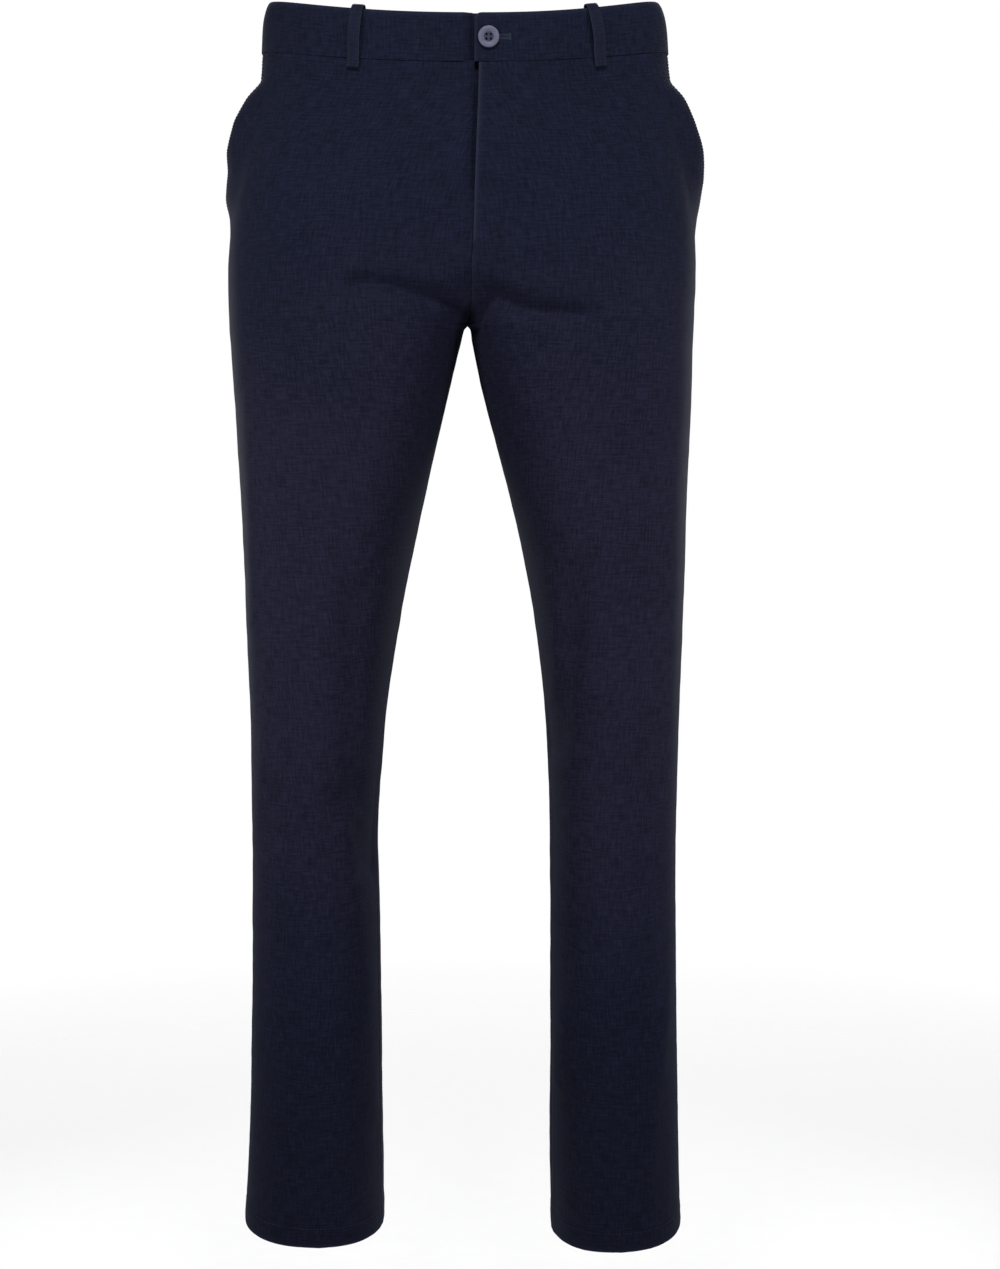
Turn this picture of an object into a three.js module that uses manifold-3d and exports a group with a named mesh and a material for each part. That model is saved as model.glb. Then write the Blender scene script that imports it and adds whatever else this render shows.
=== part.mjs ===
// Chino trousers, filled out as worn and held at the waist: flat fronts, side pockets whose mouths stand
// open, a fly that laps left over right under one button, five belt loops and plain turned-up hems.
// Millimetres. +Z is up, the front faces -Y and +X is the wearer's left. The origin is the middle of the
// waist opening, halfway up the waistband at the side seams.
import * as THREE from 'three';
import { mergeVertices } from 'three/addons/utils/BufferGeometryUtils.js';
import Module from 'manifold-3d';

const wasm = await Module();
wasm.setup();

// Cloth and seams
const CLOTH = 1.5; // one layer, with the seam and hem turnings spread into it
const GAP = 0.3; // between neighbouring pieces
const LAP = CLOTH + GAP; // how far a layer lies under the one over it

// How finely the surfaces are divided
const CORNER_STEPS = 36;
const DIRECTION_REACH = 1.5; // the surface's direction comes from the points this far to each side
const CELLS = { panel: 14, band: 22, facing: 6 };
const ROWS = { hips: 10, legs: 25, facing: 10, zip: 8, loop: 20 };
// Rows above and below the crotch
const CROTCH_RISES = [54, 43, 33, 25, 18, 12.5, 8, 4.5, 2, 0.5, 0, -4, -11, -23];
const LEGS_START = -290;

// Waistband
const BAND_TOP = 20;
const BAND_BOTTOM = -20.5;
const BAND_LEVELS = [BAND_TOP, 17, 12, 6, 0, BAND_BOTTOM]; // its rows: its sides lean in near the top
const BAND_THICK = 3;
const BAND_PROUD = 0.5; // the band stands this far outside the panels
const BAND_LAP = BAND_THICK + 2 * GAP;
const BAND_GAP = 0.6; // between the band and the panels below it
const BAND_OVERLAP = 3.7; // the left end runs this far past the fly edge
const BAND_UNDERLAP = 34;
const WAIST_FRONT = 113; // how far the waist reaches to the front and to the back
const WAIST_BACK = 112;
const FRONT_DROP = 23.2; // the waist is cut lower at the centre front, in a curve
const BACK_RISE = 9;
const DROP_ENDS = -150;

// Fly
const FLY_BOTTOM = -187;
const FLY_UNDERLAP = 12;
const FLY_DEPTH = LAP + 0.25; // the underlap and the zip lie this far in
const FLY_FLAT = 1.5; // a lower layer comes up again from here
const FLY_EASE = 15; // to here
const ZIP_TOP = -26;
const ZIP_BOTTOM = -178;
const ZIP_WIDE = 26;
const ZIP_TAPE = 0.8;
const ZIP_CHAIN = 2.2;
const CHAIN_WIDE = 6;
const CHAIN_SLOPE = 0.5;

// Side pockets
const MOUTH_TOP = -20;
const MOUTH_BOTTOM = -174;
const MOUTH_SLANT = 26; // how far in front of the side seam the mouth starts at the waist
const FLARE_WIDE = 46; // the front bends outwards over this width before its mouth edge
const FACING_UNDER_FRONT = 24;
const FACING_UNDER_BACK = 8;
const FACING_BOTTOM = -190;
const FACING_DEPTH = LAP + 0.7; // the facing lies this far inside the hip

// Legs
const CROTCH = -249;
const HEM = { left: -1063.5, right: -1059 };
const HEM_TURN = 20;
const HEM_TILT = 0.04; // the outer side of each hem is higher
const HEM_MIDDLE = 137;
const TILT_STARTS = -950;
const TILT_ENDS = -1050;
const INSEAM_FORWARD = 20; // the inside seam swings to the front down the leg
const SWING_ENDS = -900;
const SWING_POINTS = 30; // enough points of the front to take in that swing

// Belt loops: the distance of each one's middle from the fly edge, or from the centre back, and how far it
// leans
const LOOP_WIDE = 10.5;
const LOOP_THICK = 1.6;
const LOOP_SAG = 3.1; // the gap that a belt goes through
const LOOP_EASE = 0.8; // more room over the band's top edge and inside it
const LOOPS = [
  { name: 'belt_loop_front_left', side: 'left', fromFly: 93, lean: 6 },
  { name: 'belt_loop_front_right', side: 'right', fromFly: 99, lean: 3 },
  { name: 'belt_loop_side_left', side: 'left', fromBack: 165, lean: 0 },
  { name: 'belt_loop_side_right', side: 'right', fromBack: 165, lean: 0 },
  { name: 'belt_loop_back', fromBack: 0, lean: 0 },
];

// A belt loop's path beside the band, as the height and the distance out of the band: up the inside, over
// the top edge, down the outside with room for a belt, and onto the panel below.
const LOOP_FLAT = GAP + LOOP_THICK / 2;
const LOOP_INSIDE = -BAND_THICK - LOOP_FLAT - LOOP_EASE;
const LOOP_PATH = table(
  ['height', 'out'],
  [
    [BAND_TOP - 8, LOOP_INSIDE],
    [BAND_TOP - 0.5, LOOP_INSIDE],
    [BAND_TOP + LOOP_FLAT + LOOP_EASE, LOOP_INSIDE + 1.5],
    [BAND_TOP + LOOP_FLAT + LOOP_EASE, -0.6],
    [BAND_TOP - 1, LOOP_FLAT + 1],
    [BAND_TOP - 6, LOOP_FLAT + 1.9],
    [6, LOOP_FLAT + LOOP_SAG],
    [-6, LOOP_FLAT + LOOP_SAG],
    [BAND_BOTTOM + 4, LOOP_FLAT + 0.7],
    [BAND_BOTTOM - 1, LOOP_FLAT],
    [BAND_BOTTOM - 9, LOOP_FLAT - 0.3],
  ],
);

// Button
const BUTTON = { wide: 17, thick: 3, rim: 2.4, round: 0.8, dish: 0.9, hole: 2, spread: 1.9 };
const BUTTON_FROM_FLY = 7.6;
const BUTTON_HEIGHT = 0;
const BUTTON_AWAY = BAND_PROUD + GAP + 0.3; // from the surface that the band follows to the button's back

// The trousers' sections, a row for each level from the waist down. Out is the outer edge of each side, and
// in the inner edge of each leg, from the seam line. Above the crotch a side's section runs past the seam
// line, by a share of its width there, and is cut at the seam. Front, back and widest are the front, back
// and widest line, in y. The seams are the centre front and centre back, in x. Square is the power that
// squares the inner corners.
const OUTER_POWER = 2.3;
const SECTIONS = table(
  [
    'z', 'rightOut', 'leftOut', 'rightIn', 'leftIn', 'past',
    'front', 'back', 'widest', 'frontSeam', 'backSeam', 'square',
  ],
  [
    [20, 158.5, 158, 0, 0, 1, -112, 110, 0, 13.4, 0, 2.3],
    [17, 163.4, 162.2, 0, 0, 1, -112.3, 110.5, 0, 13.4, 0, 2.3],
    [11, 167.2, 166.8, 0, 0, 1, -112.6, 111, 0, 13.4, 0, 2.3],
    [0, 170, 170, 0, 0, 1, -WAIST_FRONT, WAIST_BACK, 0, 13.4, 0, 2.3],
    [-20, 171.6, 172.4, 0, 0, 0.98, -114, 114, 1, 13.2, 0, 2.4],
    [-45, 173.2, 175, 0, 0, 0.93, -116, 122, 3, 12.7, 0, 2.5],
    [-60, 177, 179, 0, 0, 0.88, -117, 127, 5, 12.3, 0, 2.6],
    [-100, 189.5, 188.5, 0, 0, 0.74, -120, 139, 8, 11, 0, 2.8],
    [-140, 198, 195, 0, 0, 0.58, -120, 147, 10, 9.8, 0.5, 3],
    [-180, 202.4, 198, 0, 0, 0.36, -118, 150, 11, 8.4, 1, 3.2],
    [-200, 204, 198.5, 0, 0, 0.23, -117, 149, 12, 7.2, 1.3, 3.3],
    [-220, 204.2, 198.2, 0, 0, 0.1, -115, 147, 11, 7, 1.5, 3.4],
    [-235, 203.9, 197.7, 0, 0, 0.033, -113, 144, 11, 5.6, 1.7, 3.4],
    [-244, 203.6, 197.3, 0, 0, 0.0075, -112, 142, 10, 3.2, 1.7, 3.4],
    [-249, 203.4, 197.1, 0.15, 0.15, 0, -111, 141, 10, 1.7, 1.7, 3.4],
    [-252, 203.3, 197, 2.7, 2.3, 0, -110.7, 140.4, 10, 1.7, 1.7, 3.4],
    [-265, 202.6, 196.5, 6.4, 4.8, 0, -109, 137, 10, 1.7, 1.7, 3.2],
    [-300, 200.5, 195.8, 15.2, 11.8, 0, -105, 129, 8, 1.7, 1.7, 2.9],
    [-360, 197.6, 194.5, 29.4, 27.4, 0, -99, 115, 6, 1.7, 1.7, 2.5],
    [-400, 195.5, 193.1, 38.4, 37.9, 0, -95, 106, 5, 1.7, 1.7, 2.4],
    [-450, 194, 191.9, 49.1, 49.4, 0, -91, 99, 4, 1.7, 1.7, 2.3],
    [-500, 192.4, 190.6, 59, 58.3, 0, -87, 93, 3, 1.7, 1.7, 2.3],
    [-600, 190.3, 188, 73.8, 69.1, 0, -79, 85, 2, 1.7, 1.7, 2.3],
    [-700, 190.3, 186.7, 80.8, 73.1, 0, -72, 83, 5, 1.7, 1.7, 2.3],
    [-800, 192.3, 188.1, 80.1, 73.5, 0, -66, 85, 9, 1.7, 1.7, 2.3],
    [-900, 195.1, 190.4, 79.2, 73.9, 0, -62, 88, 13, 1.7, 1.7, 2.3],
    [-1000, 199.5, 193.1, 79.1, 74.2, 0, -60, 90, 14, 1.7, 1.7, 2.3],
    [-1070, 204.4, 195.6, 78.5, 75.4, 0, -60, 90, 15, 1.7, 1.7, 2.3],
  ],
);

// How far each pocket mouth stands outside the hip
const FLARE = table(
  ['z', 'right', 'left'],
  [
    [-45, 0, 0],
    [-60, 9.5, 9],
    [-80, 14, 13],
    [-100, 13.5, 15],
    [-120, 9, 12.5],
    [-140, 7.5, 7.5],
    [-160, 2, 2.5],
    [-174, 0, 0],
  ],
);

// The largest folds on the fronts and backs, each a soft trough, or a ridge where its depth is less than 0,
// along a line from one place (x, z) to another. They fade out over these widths before the seams and
// edges.
const FADE = { pocket: 20, fly: 14, backSide: 20, backSeam: 12 };
const FOLDS = table(
  ['face', 'fromX', 'fromZ', 'toX', 'toZ', 'depth', 'wide'],
  [
    ['front', -88, -216, -65, -217, 7, 8],
    ['front', -52, -219.5, -41, -223, 8.5, 8],
    ['front', -28, -226, 2, -230, 7.5, 8],
    ['front', 19, -221, 30, -226, 7, 8],
    ['front', 42, -232, 47.5, -235, 8.5, 8],
    ['front', 60.5, -238.5, 100, -241, 8, 8],
    ['front', 0, -128, -58, -168, -2, 13],
    ['front', -58, -168, -106, -228, -2, 13],
    ['front', -92, -475, -100, -650, 4, 15],
    ['front', -100, -650, -84, -720, 3, 13],
    ['front', 88, -455, 90, -520, 3, 12],
    ['front', 90, -520, 80, -610, 3, 12],
    ['front', 171, -850, 158, -985, -3, 12],
    ['back', -150, -215, -30, -262, 4, 13],
    ['back', 150, -220, 30, -262, 4, 13],
    ['back', -130, -300, -60, -325, 3, 12],
    ['back', 135, -305, 60, -322, 3, 12],
    ['back', -165, -560, -95, -590, 4, 14],
    ['back', 165, -575, 95, -600, 4, 14],
    ['back', -160, -650, -100, -630, 3, 13],
    ['back', 160, -655, 100, -640, 3, 13],
  ],
);

// A list of rows with named columns.
function table(names, rows) {
  return rows.map((row) => Object.fromEntries(names.map((name, i) => [name, row[i]])));
}

// 0 before 0, 1 after 1 and a smooth step between.
function ease(t) {
  const part = Math.min(1, Math.max(0, t));
  return part * part * (3 - 2 * part);
}

// A column's value at a height, on a smooth curve through the rows that never swings past them.
function level(rows, column, z) {
  const last = rows.length - 1;
  let low = 1;
  while (low < last && rows[low].z > z) low += 1;
  const rise = (i) => (rows[i][column] - rows[i - 1][column]) / (rows[i].z - rows[i - 1].z);
  const slope = (i) => {
    if (i < 1 || i >= last) return rise(Math.min(Math.max(i, 1), last));
    const [above, below] = [rise(i), rise(i + 1)];
    return above * below > 0 ? (2 * above * below) / (above + below) : 0;
  };
  const [top, bottom] = [rows[low - 1], rows[low]];
  const span = bottom.z - top.z;
  const t = Math.min(1, Math.max(0, (z - top.z) / span));
  const start = (2 * t - 3) * t * t + 1;
  const startSlope = ((t - 2) * t + 1) * t * span * slope(low - 1);
  const endSlope = (t - 1) * t * t * span * slope(low);
  return start * top[column] + (1 - start) * bottom[column] + startSlope + endSlope;
}

// One corner of a section, from its side point to its front or back point, as [x, y] pairs. It starts later
// where the seam plane cuts it.
function corner(middle, half, power, startAngle) {
  const points = [];
  for (let i = 0; i <= CORNER_STEPS; i += 1) {
    const angle = startAngle + (Math.PI / 2 - startAngle) * ease(i / CORNER_STEPS);
    const x = middle.x + half.x * Math.max(0, Math.cos(angle)) ** (2 / power);
    const y = middle.y + half.y * Math.sin(angle) ** (2 / power);
    points.push([x, y]);
  }
  return points;
}

// One face of one side at a height: [x, y] pairs from the seam plane, or the inside leg, to the side seam.
function faceLine(face, side, z) {
  const sign = side === 'left' ? 1 : -1;
  const seam = level(SECTIONS, `${face}Seam`, z);
  const outer = sign * level(SECTIONS, `${side}Out`, z);
  const past = level(SECTIONS, 'past', z) * sign * (outer - seam);
  const inner = seam + sign * (level(SECTIONS, `${side}In`, z) - past);
  const half = Math.abs(outer - inner) / 2;
  const middle = { x: (outer + inner) / 2, y: level(SECTIONS, 'widest', z) };
  const deep = level(SECTIONS, face, z) - middle.y;
  const square = level(SECTIONS, 'square', z);
  const toSeam = Math.min(half, sign * (middle.x - seam) - GAP / 2);
  const cut = Math.acos(Math.max(0, toSeam / half) ** (square / 2));
  const inside = corner(middle, { x: -sign * half, y: deep }, square, cut);
  const outside = corner(middle, { x: sign * half, y: deep }, OUTER_POWER, 0);
  return [...inside, ...outside.reverse().slice(1)];
}

// A line of points with the way along it and the outward normal at each.
class Line {
  constructor(points, sign) {
    const step = ([x, y], i) => Math.hypot(x - points[i - 1][0], y - points[i - 1][1]);
    this.points = points.filter((point, i) => i === 0 || step(point, i) > 1e-6);
    this.sign = sign;
    this.along = [0];
    for (let i = 1; i < this.points.length; i += 1) {
      const [[ax, ay], [bx, by]] = this.points.slice(i - 1, i + 1);
      this.along.push(this.along[i - 1] + Math.hypot(bx - ax, by - ay));
    }
    this.length = this.along.at(-1);
  }

  // The point at a distance from the start, with its normal from the points to each side.
  at(distance) {
    const [x, y] = this.place(distance);
    const [ax, ay] = this.place(distance - DIRECTION_REACH);
    const [bx, by] = this.place(distance + DIRECTION_REACH);
    const size = Math.hypot(bx - ax, by - ay) * this.sign;
    return { x, y, nx: (by - ay) / size, ny: (ax - bx) / size };
  }

  place(distance) {
    const d = Math.min(this.length, Math.max(0, distance));
    let i = 1;
    while (i < this.along.length - 1 && this.along[i] < d) i += 1;
    const t = (d - this.along[i - 1]) / (this.along[i] - this.along[i - 1]);
    const [a, b] = [this.points[i - 1], this.points[i]];
    return [a[0] + t * (b[0] - a[0]), a[1] + t * (b[1] - a[1])];
  }
}

// Once round a side at a height, from the centre front, or the inside leg, over the side seam to the centre
// back. Below the crotch it runs on over the front again, and frontStart says how far in front the inside
// seam is.
const lineStore = new Map();
function sideLine(side, z) {
  const key = `${side} ${z}`;
  if (!lineStore.has(key)) {
    const front = faceLine('front', side, z);
    const back = faceLine('back', side, z).reverse();
    const again = z <= CROTCH ? front.slice(1, SWING_POINTS) : [];
    const line = new Line([...front, ...back.slice(1), ...again], side === 'left' ? 1 : -1);
    line.sideSeam = new Line(front, 1).length;
    line.round = new Line([...front, ...back.slice(1)], 1).length;
    line.frontStart = INSEAM_FORWARD * ease((CROTCH - z) / (CROTCH - SWING_ENDS));
    lineStore.set(key, line);
  }
  return lineStore.get(key);
}

// The waist's cut lowers the front and raises the back, and each hem tilts.
function settle(point, z) {
  const front = -FRONT_DROP * (point.y / WAIST_FRONT) ** 2;
  const back = BACK_RISE * (point.y / WAIST_BACK) ** 2;
  const waist = (point.y < 0 ? front : back) * ease((z - DROP_ENDS) / (BAND_TOP - DROP_ENDS));
  const tilting = ease((TILT_STARTS - z) / (TILT_STARTS - TILT_ENDS));
  const hem = HEM_TILT * (Math.abs(point.x) - HEM_MIDDLE) * tilting;
  return z + waist + hem;
}

// How far the folds press a face in at a place.
function foldDepth(face, x, z) {
  let total = 0;
  for (const fold of FOLDS.filter((row) => row.face === face)) {
    const along = new THREE.Vector2(fold.toX - fold.fromX, fold.toZ - fold.fromZ);
    const from = new THREE.Vector2(x - fold.fromX, z - fold.fromZ);
    const t = Math.min(1, Math.max(0, from.dot(along) / along.lengthSq()));
    const away = from.addScaledVector(along, -t).length() / fold.wide;
    total += fold.depth * Math.exp(-away * away);
  }
  return total;
}

// A point of a side's surface moved in along its normal.
function moved(point, inwards, z) {
  return new THREE.Vector3(point.x - point.nx * inwards, point.y - point.ny * inwards, z);
}

// A closed wall between an outer and an inner grid of points, its faces turned outwards.
function wallGeometry(outer, inner) {
  const [rows, columns] = [outer.length, outer[0].length];
  const positions = [...outer.flat(), ...inner.flat()].flatMap((point) => [point.x, point.y, point.z]);
  const faces = [];
  const quad = (a, b, c, d) => faces.push(a, b, c, a, c, d);
  const out = (r, c) => r * columns + c;
  const within = (r, c) => rows * columns + out(r, c);
  for (let r = 0; r < rows - 1; r += 1) {
    for (let c = 0; c < columns - 1; c += 1) {
      quad(out(r, c), out(r, c + 1), out(r + 1, c + 1), out(r + 1, c));
      quad(within(r, c), within(r + 1, c), within(r + 1, c + 1), within(r, c + 1));
    }
    quad(out(r, 0), out(r + 1, 0), within(r + 1, 0), within(r, 0));
    quad(out(r + 1, columns - 1), out(r, columns - 1), within(r, columns - 1), within(r + 1, columns - 1));
  }
  for (let c = 0; c < columns - 1; c += 1) {
    quad(out(0, c + 1), out(0, c), within(0, c), within(0, c + 1));
    quad(out(rows - 1, c), out(rows - 1, c + 1), within(rows - 1, c + 1), within(rows - 1, c));
  }
  if (volume(positions, faces) < 0) faces.reverse();
  const geometry = new THREE.BufferGeometry();
  geometry.setAttribute('position', new THREE.Float32BufferAttribute(positions, 3));
  geometry.setIndex(faces);
  return geometry;
}

// Six times the signed volume inside a closed mesh.
function volume(positions, faces) {
  const point = (i) => new THREE.Vector3().fromArray(positions, 3 * i);
  let sum = 0;
  for (let i = 0; i < faces.length; i += 3) {
    sum += point(faces[i]).dot(point(faces[i + 1]).cross(point(faces[i + 2])));
  }
  return sum;
}

// Evenly spaced values from one to another.
function spread(from, to, cells) {
  return Array.from({ length: cells + 1 }, (_, i) => from + ((to - from) * i) / cells);
}

// The heights of a panel's rows: close together where the crotch curve runs flat and where the hem is
// turned up.
function panelLevels(side) {
  const hem = HEM[side];
  const hips = spread(BAND_BOTTOM - BAND_GAP, FLY_BOTTOM, ROWS.hips);
  const crotch = CROTCH_RISES.map((rise) => CROTCH + rise);
  const legs = spread(LEGS_START, hem + HEM_TURN + 1, ROWS.legs);
  const turning = [hem + HEM_TURN, hem + HEM_TURN / 2, hem];
  return [...hips, ...crotch, ...legs, ...turning];
}

// How far in front of the side seam the pocket's mouth is at a height.
function mouthSetback(z) {
  return MOUTH_SLANT * Math.max(0, (z - MOUTH_BOTTOM) / (MOUTH_TOP - MOUTH_BOTTOM));
}

// The underlap of the right front at a height: how wide it is, and how far in it lies.
function underlap(z) {
  const wide = FLY_UNDERLAP * Math.min(1, (z - FLY_BOTTOM) / FLY_EASE);
  return { wide: z > FLY_BOTTOM ? wide : 0, depth: FLY_DEPTH * ease((z - FLY_BOTTOM + FLY_EASE) / FLY_EASE) };
}

// A point of a side at a distance from its start. Before the start the line goes on over the other side.
function besideFly(side, distance, z) {
  if (distance >= 0) return sideLine(side, z).at(distance);
  return sideLine(side === 'left' ? 'right' : 'left', z).at(-distance);
}

// How long a face is from its seam to the side seam. Along the crotch curve, where the seam runs to the
// middle in a few rows, it changes evenly from the length above to the length below.
function evenLength(measure, z) {
  if (z >= FLY_BOTTOM || z <= CROTCH) return measure(z);
  const share = ease((FLY_BOTTOM - z) / (FLY_BOTTOM - CROTCH));
  return measure(FLY_BOTTOM) * (1 - share) + measure(CROTCH) * share;
}

// Distances from the side seam to the other seam. The first cells are as wide as the face's even length
// gives, so that they keep their place from row to row, and the last take up the rest.
function columnsFrom(sideSeam, otherSeam, length, cells) {
  const way = Math.sign(otherSeam - sideSeam);
  const steady = Math.ceil((cells * 2) / 3);
  const kept = spread(sideSeam, sideSeam + (way * length * steady) / cells, steady);
  return [...kept, ...spread(kept.at(-1), otherSeam, cells - steady).slice(1)];
}

// A row of a front, from the fly or inside leg to the pocket mouth or side seam.
function frontRow(side, z) {
  const line = sideLine(side, z);
  const lap = side === 'right' ? underlap(z) : { wide: 0, depth: 0 };
  const start = z <= CROTCH ? line.frontStart + GAP / 2 : -lap.wide;
  const end = line.sideSeam - GAP / 2 - mouthSetback(z);
  const flare = z < FLARE[0].z && z > MOUTH_BOTTOM ? level(FLARE, side, z) : 0;
  const first = Math.max(0, start);
  const near = side === 'right' ? [start, first + FLY_FLAT, first + FLY_EASE / 2] : [];
  const inmost = side === 'right' ? first + FLY_EASE : start;
  const length = evenLength((at) => sideLine(side, at).sideSeam - mouthSetback(at), z) - inmost + first;
  const rest = columnsFrom(end, inmost, length, CELLS.panel - near.length).reverse();
  return [...near, ...rest].map((distance) => {
    const point = besideFly(side, distance, z);
    const under = lap.depth * ease((FLY_EASE - distance) / (FLY_EASE - FLY_FLAT));
    const open = flare * ease(1 - (end - distance) / FLARE_WIDE);
    const height = settle(point, z);
    const edge = ease((end - distance) / FADE.pocket) * ease((distance - first) / FADE.fly);
    return { point, inwards: under - open + foldDepth('front', point.x, height) * edge, height };
  });
}

// A row of a back, from the side seam to the centre back or inside leg.
function backRow(side, z) {
  const line = sideLine(side, z);
  const start = line.sideSeam + GAP / 2;
  const end = line.round + (z <= CROTCH ? line.frontStart - GAP / 2 : 0);
  const length = evenLength((at) => sideLine(side, at).round - sideLine(side, at).sideSeam, z);
  return columnsFrom(start, end, length, CELLS.panel).map((distance) => {
    const point = line.at(distance);
    const height = settle(point, z);
    const edge = ease((end - distance) / FADE.backSeam) * ease((distance - start) / FADE.backSide);
    return { point, inwards: foldDepth('back', point.x, height) * edge, height };
  });
}

// A front or back, its wall doubled where the hem is turned up.
function panelGeometry(side, makeRow) {
  const outer = [];
  const inner = [];
  for (const z of panelLevels(side)) {
    const row = makeRow(side, z);
    const thick = z < HEM[side] + HEM_TURN + 0.5 ? 2 * CLOTH : CLOTH;
    outer.push(row.map(({ point, inwards, height }) => moved(point, inwards, height)));
    inner.push(row.map(({ point, inwards, height }) => moved(point, inwards + thick, height)));
  }
  return wallGeometry(outer, inner);
}

// The cloth seen inside a pocket's mouth, under the front's edge and the back's edge.
function facingGeometry(side) {
  const outer = [];
  const inner = [];
  for (const z of spread(BAND_BOTTOM - BAND_GAP, FACING_BOTTOM, ROWS.facing)) {
    const line = sideLine(side, z);
    const start = line.sideSeam - mouthSetback(z) - FACING_UNDER_FRONT;
    const end = line.sideSeam + FACING_UNDER_BACK;
    const points = spread(start, end, CELLS.facing).map((distance) => line.at(distance));
    outer.push(points.map((point) => moved(point, FACING_DEPTH, settle(point, z))));
    inner.push(points.map((point) => moved(point, FACING_DEPTH + CLOTH, settle(point, z))));
  }
  return wallGeometry(outer, inner);
}

// Half of the waistband. The right end dips under the left end at the fly.
function bandGeometry(side) {
  const sign = side === 'left' ? 1 : -1;
  const start = side === 'left' ? -BAND_OVERLAP : -BAND_UNDERLAP;
  const outer = [];
  const inner = [];
  for (const z of BAND_LEVELS) {
    const end = sideLine(side, z).round - GAP / 2;
    const flat = BAND_OVERLAP + FLY_FLAT;
    const near = [start, start / 2, flat, (flat + BAND_OVERLAP + FLY_EASE) / 2, BAND_OVERLAP + FLY_EASE];
    const row = [...near, ...spread(near.at(-1), end, CELLS.band).slice(1)].map((distance) => {
      const point = besideFly(side, distance, z);
      const under = sign < 0 ? BAND_LAP * ease((near.at(-1) - distance) / (near.at(-1) - flat)) : 0;
      return { point, inwards: under - BAND_PROUD, height: settle(point, z) };
    });
    outer.push(row.map(({ point, inwards, height }) => moved(point, inwards, height)));
    inner.push(row.map(({ point, inwards, height }) => moved(point, inwards + BAND_THICK, height)));
  }
  return wallGeometry(outer, inner);
}

// Places along a belt loop's path, each with the way that the path goes there, as (out, 0, height).
function loopPath() {
  const places = LOOP_PATH.map(({ height, out }) => new THREE.Vector3(out, 0, height));
  const curve = new THREE.CatmullRomCurve3(places);
  return spread(0, 1, ROWS.loop).map((t) => ({ place: curve.getPoint(t), way: curve.getTangent(t) }));
}

// One belt loop. Each edge goes down the band at its own distance from the fly edge or the centre back, and
// the loop at the centre back has an edge on each side.
function loopGeometry({ side, fromFly, fromBack, lean }) {
  const half = LOOP_WIDE / 2;
  const edges = side ? [[side, -half], [side, half]] : [['left', -half], ['right', -half]];
  const outer = [];
  const inner = [];
  for (const { place, way } of loopPath()) {
    const slide = (lean * (BAND_TOP - place.z)) / (BAND_TOP - BAND_BOTTOM);
    const ribbon = edges.map(([edgeSide, offset]) => {
      const line = sideLine(edgeSide, place.z);
      const middle = fromFly === undefined ? line.round - fromBack : fromFly + slide;
      const point = line.at(middle + offset);
      return { point, base: settle(point, place.z) };
    });
    const shift = (away) => ribbon.map(({ point, base }) => {
      const out = place.x + BAND_PROUD + away * way.z;
      return moved(point, -out, base - away * way.x);
    });
    outer.push(shift(-LOOP_THICK / 2));
    inner.push(shift(LOOP_THICK / 2));
  }
  return wallGeometry(outer, inner);
}

// The zip behind the fly, from the underlap's edge: a tape with its closed chain standing inwards.
function zipGeometry() {
  const start = FLY_UNDERLAP + GAP;
  const chain = start + (ZIP_WIDE - CHAIN_WIDE) / 3;
  const chainEnd = chain + CHAIN_WIDE;
  const columns = [start, chain - CHAIN_SLOPE, chain, chainEnd, chainEnd + CHAIN_SLOPE, start + ZIP_WIDE];
  const outer = [];
  const inner = [];
  for (const z of spread(ZIP_TOP, ZIP_BOTTOM, ROWS.zip)) {
    const points = columns.map((distance) => sideLine('left', z).at(distance));
    outer.push(points.map((point) => moved(point, FLY_DEPTH, settle(point, z))));
    inner.push(points.map((point, i) => {
      const thick = i === 2 || i === 3 ? ZIP_CHAIN : ZIP_TAPE;
      return moved(point, FLY_DEPTH + thick, settle(point, z));
    }));
  }
  return wallGeometry(outer, inner);
}

// A closed mesh's points and faces as a solid that can be cut.
function toSolid(geometry) {
  const bare = geometry.clone();
  bare.deleteAttribute('normal');
  bare.deleteAttribute('uv');
  const merged = mergeVertices(bare, 1e-4);
  const vertProperties = Float32Array.from(merged.attributes.position.array);
  const triVerts = Uint32Array.from(merged.index.array);
  return new wasm.Manifold(new wasm.Mesh({ numProp: 3, vertProperties, triVerts }));
}

// A solid that has been cut, as a geometry again.
function toGeometry(solid) {
  const mesh = solid.getMesh();
  const geometry = new THREE.BufferGeometry();
  geometry.setAttribute('position', new THREE.Float32BufferAttribute(mesh.vertProperties, 3));
  geometry.setIndex(Array.from(mesh.triVerts));
  return geometry;
}

// The button, its axis along Z: a dished disc with a round rim and four holes.
function buttonGeometry() {
  const { thick, rim, round, dish, hole, spread: apart } = BUTTON;
  const radius = BUTTON.wide / 2;
  const profile = [
    [0, 0],
    [radius - round, 0],
    [radius, round],
    [radius, thick - round],
    [radius - round, thick],
    [radius - rim, thick],
    [radius - rim - dish, thick - dish],
    [0, thick - dish],
  ].map(([x, y]) => new THREE.Vector2(x, y));
  let solid = toSolid(new THREE.LatheGeometry(profile, 28).rotateX(Math.PI / 2));
  for (const [x, y] of [[1, 1], [1, -1], [-1, 1], [-1, -1]]) {
    const cutter = new THREE.CylinderGeometry(hole / 2, hole / 2, 3 * thick, 10);
    cutter.rotateX(Math.PI / 2).translate(x * apart, y * apart, 0);
    solid = solid.subtract(toSolid(cutter));
  }
  return toGeometry(solid);
}

const cloth = () => new THREE.MeshStandardMaterial({ color: 0x20212f, roughness: 0.92, metalness: 0 });
const plastic = () => new THREE.MeshStandardMaterial({ color: 0x5f6079, roughness: 0.45, metalness: 0 });

const trousers = new THREE.Group();

// Add a named piece with a material of its own.
function add(name, geometry, material) {
  const mesh = new THREE.Mesh(geometry, material);
  mesh.name = name;
  trousers.add(mesh);
  return mesh;
}

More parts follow.
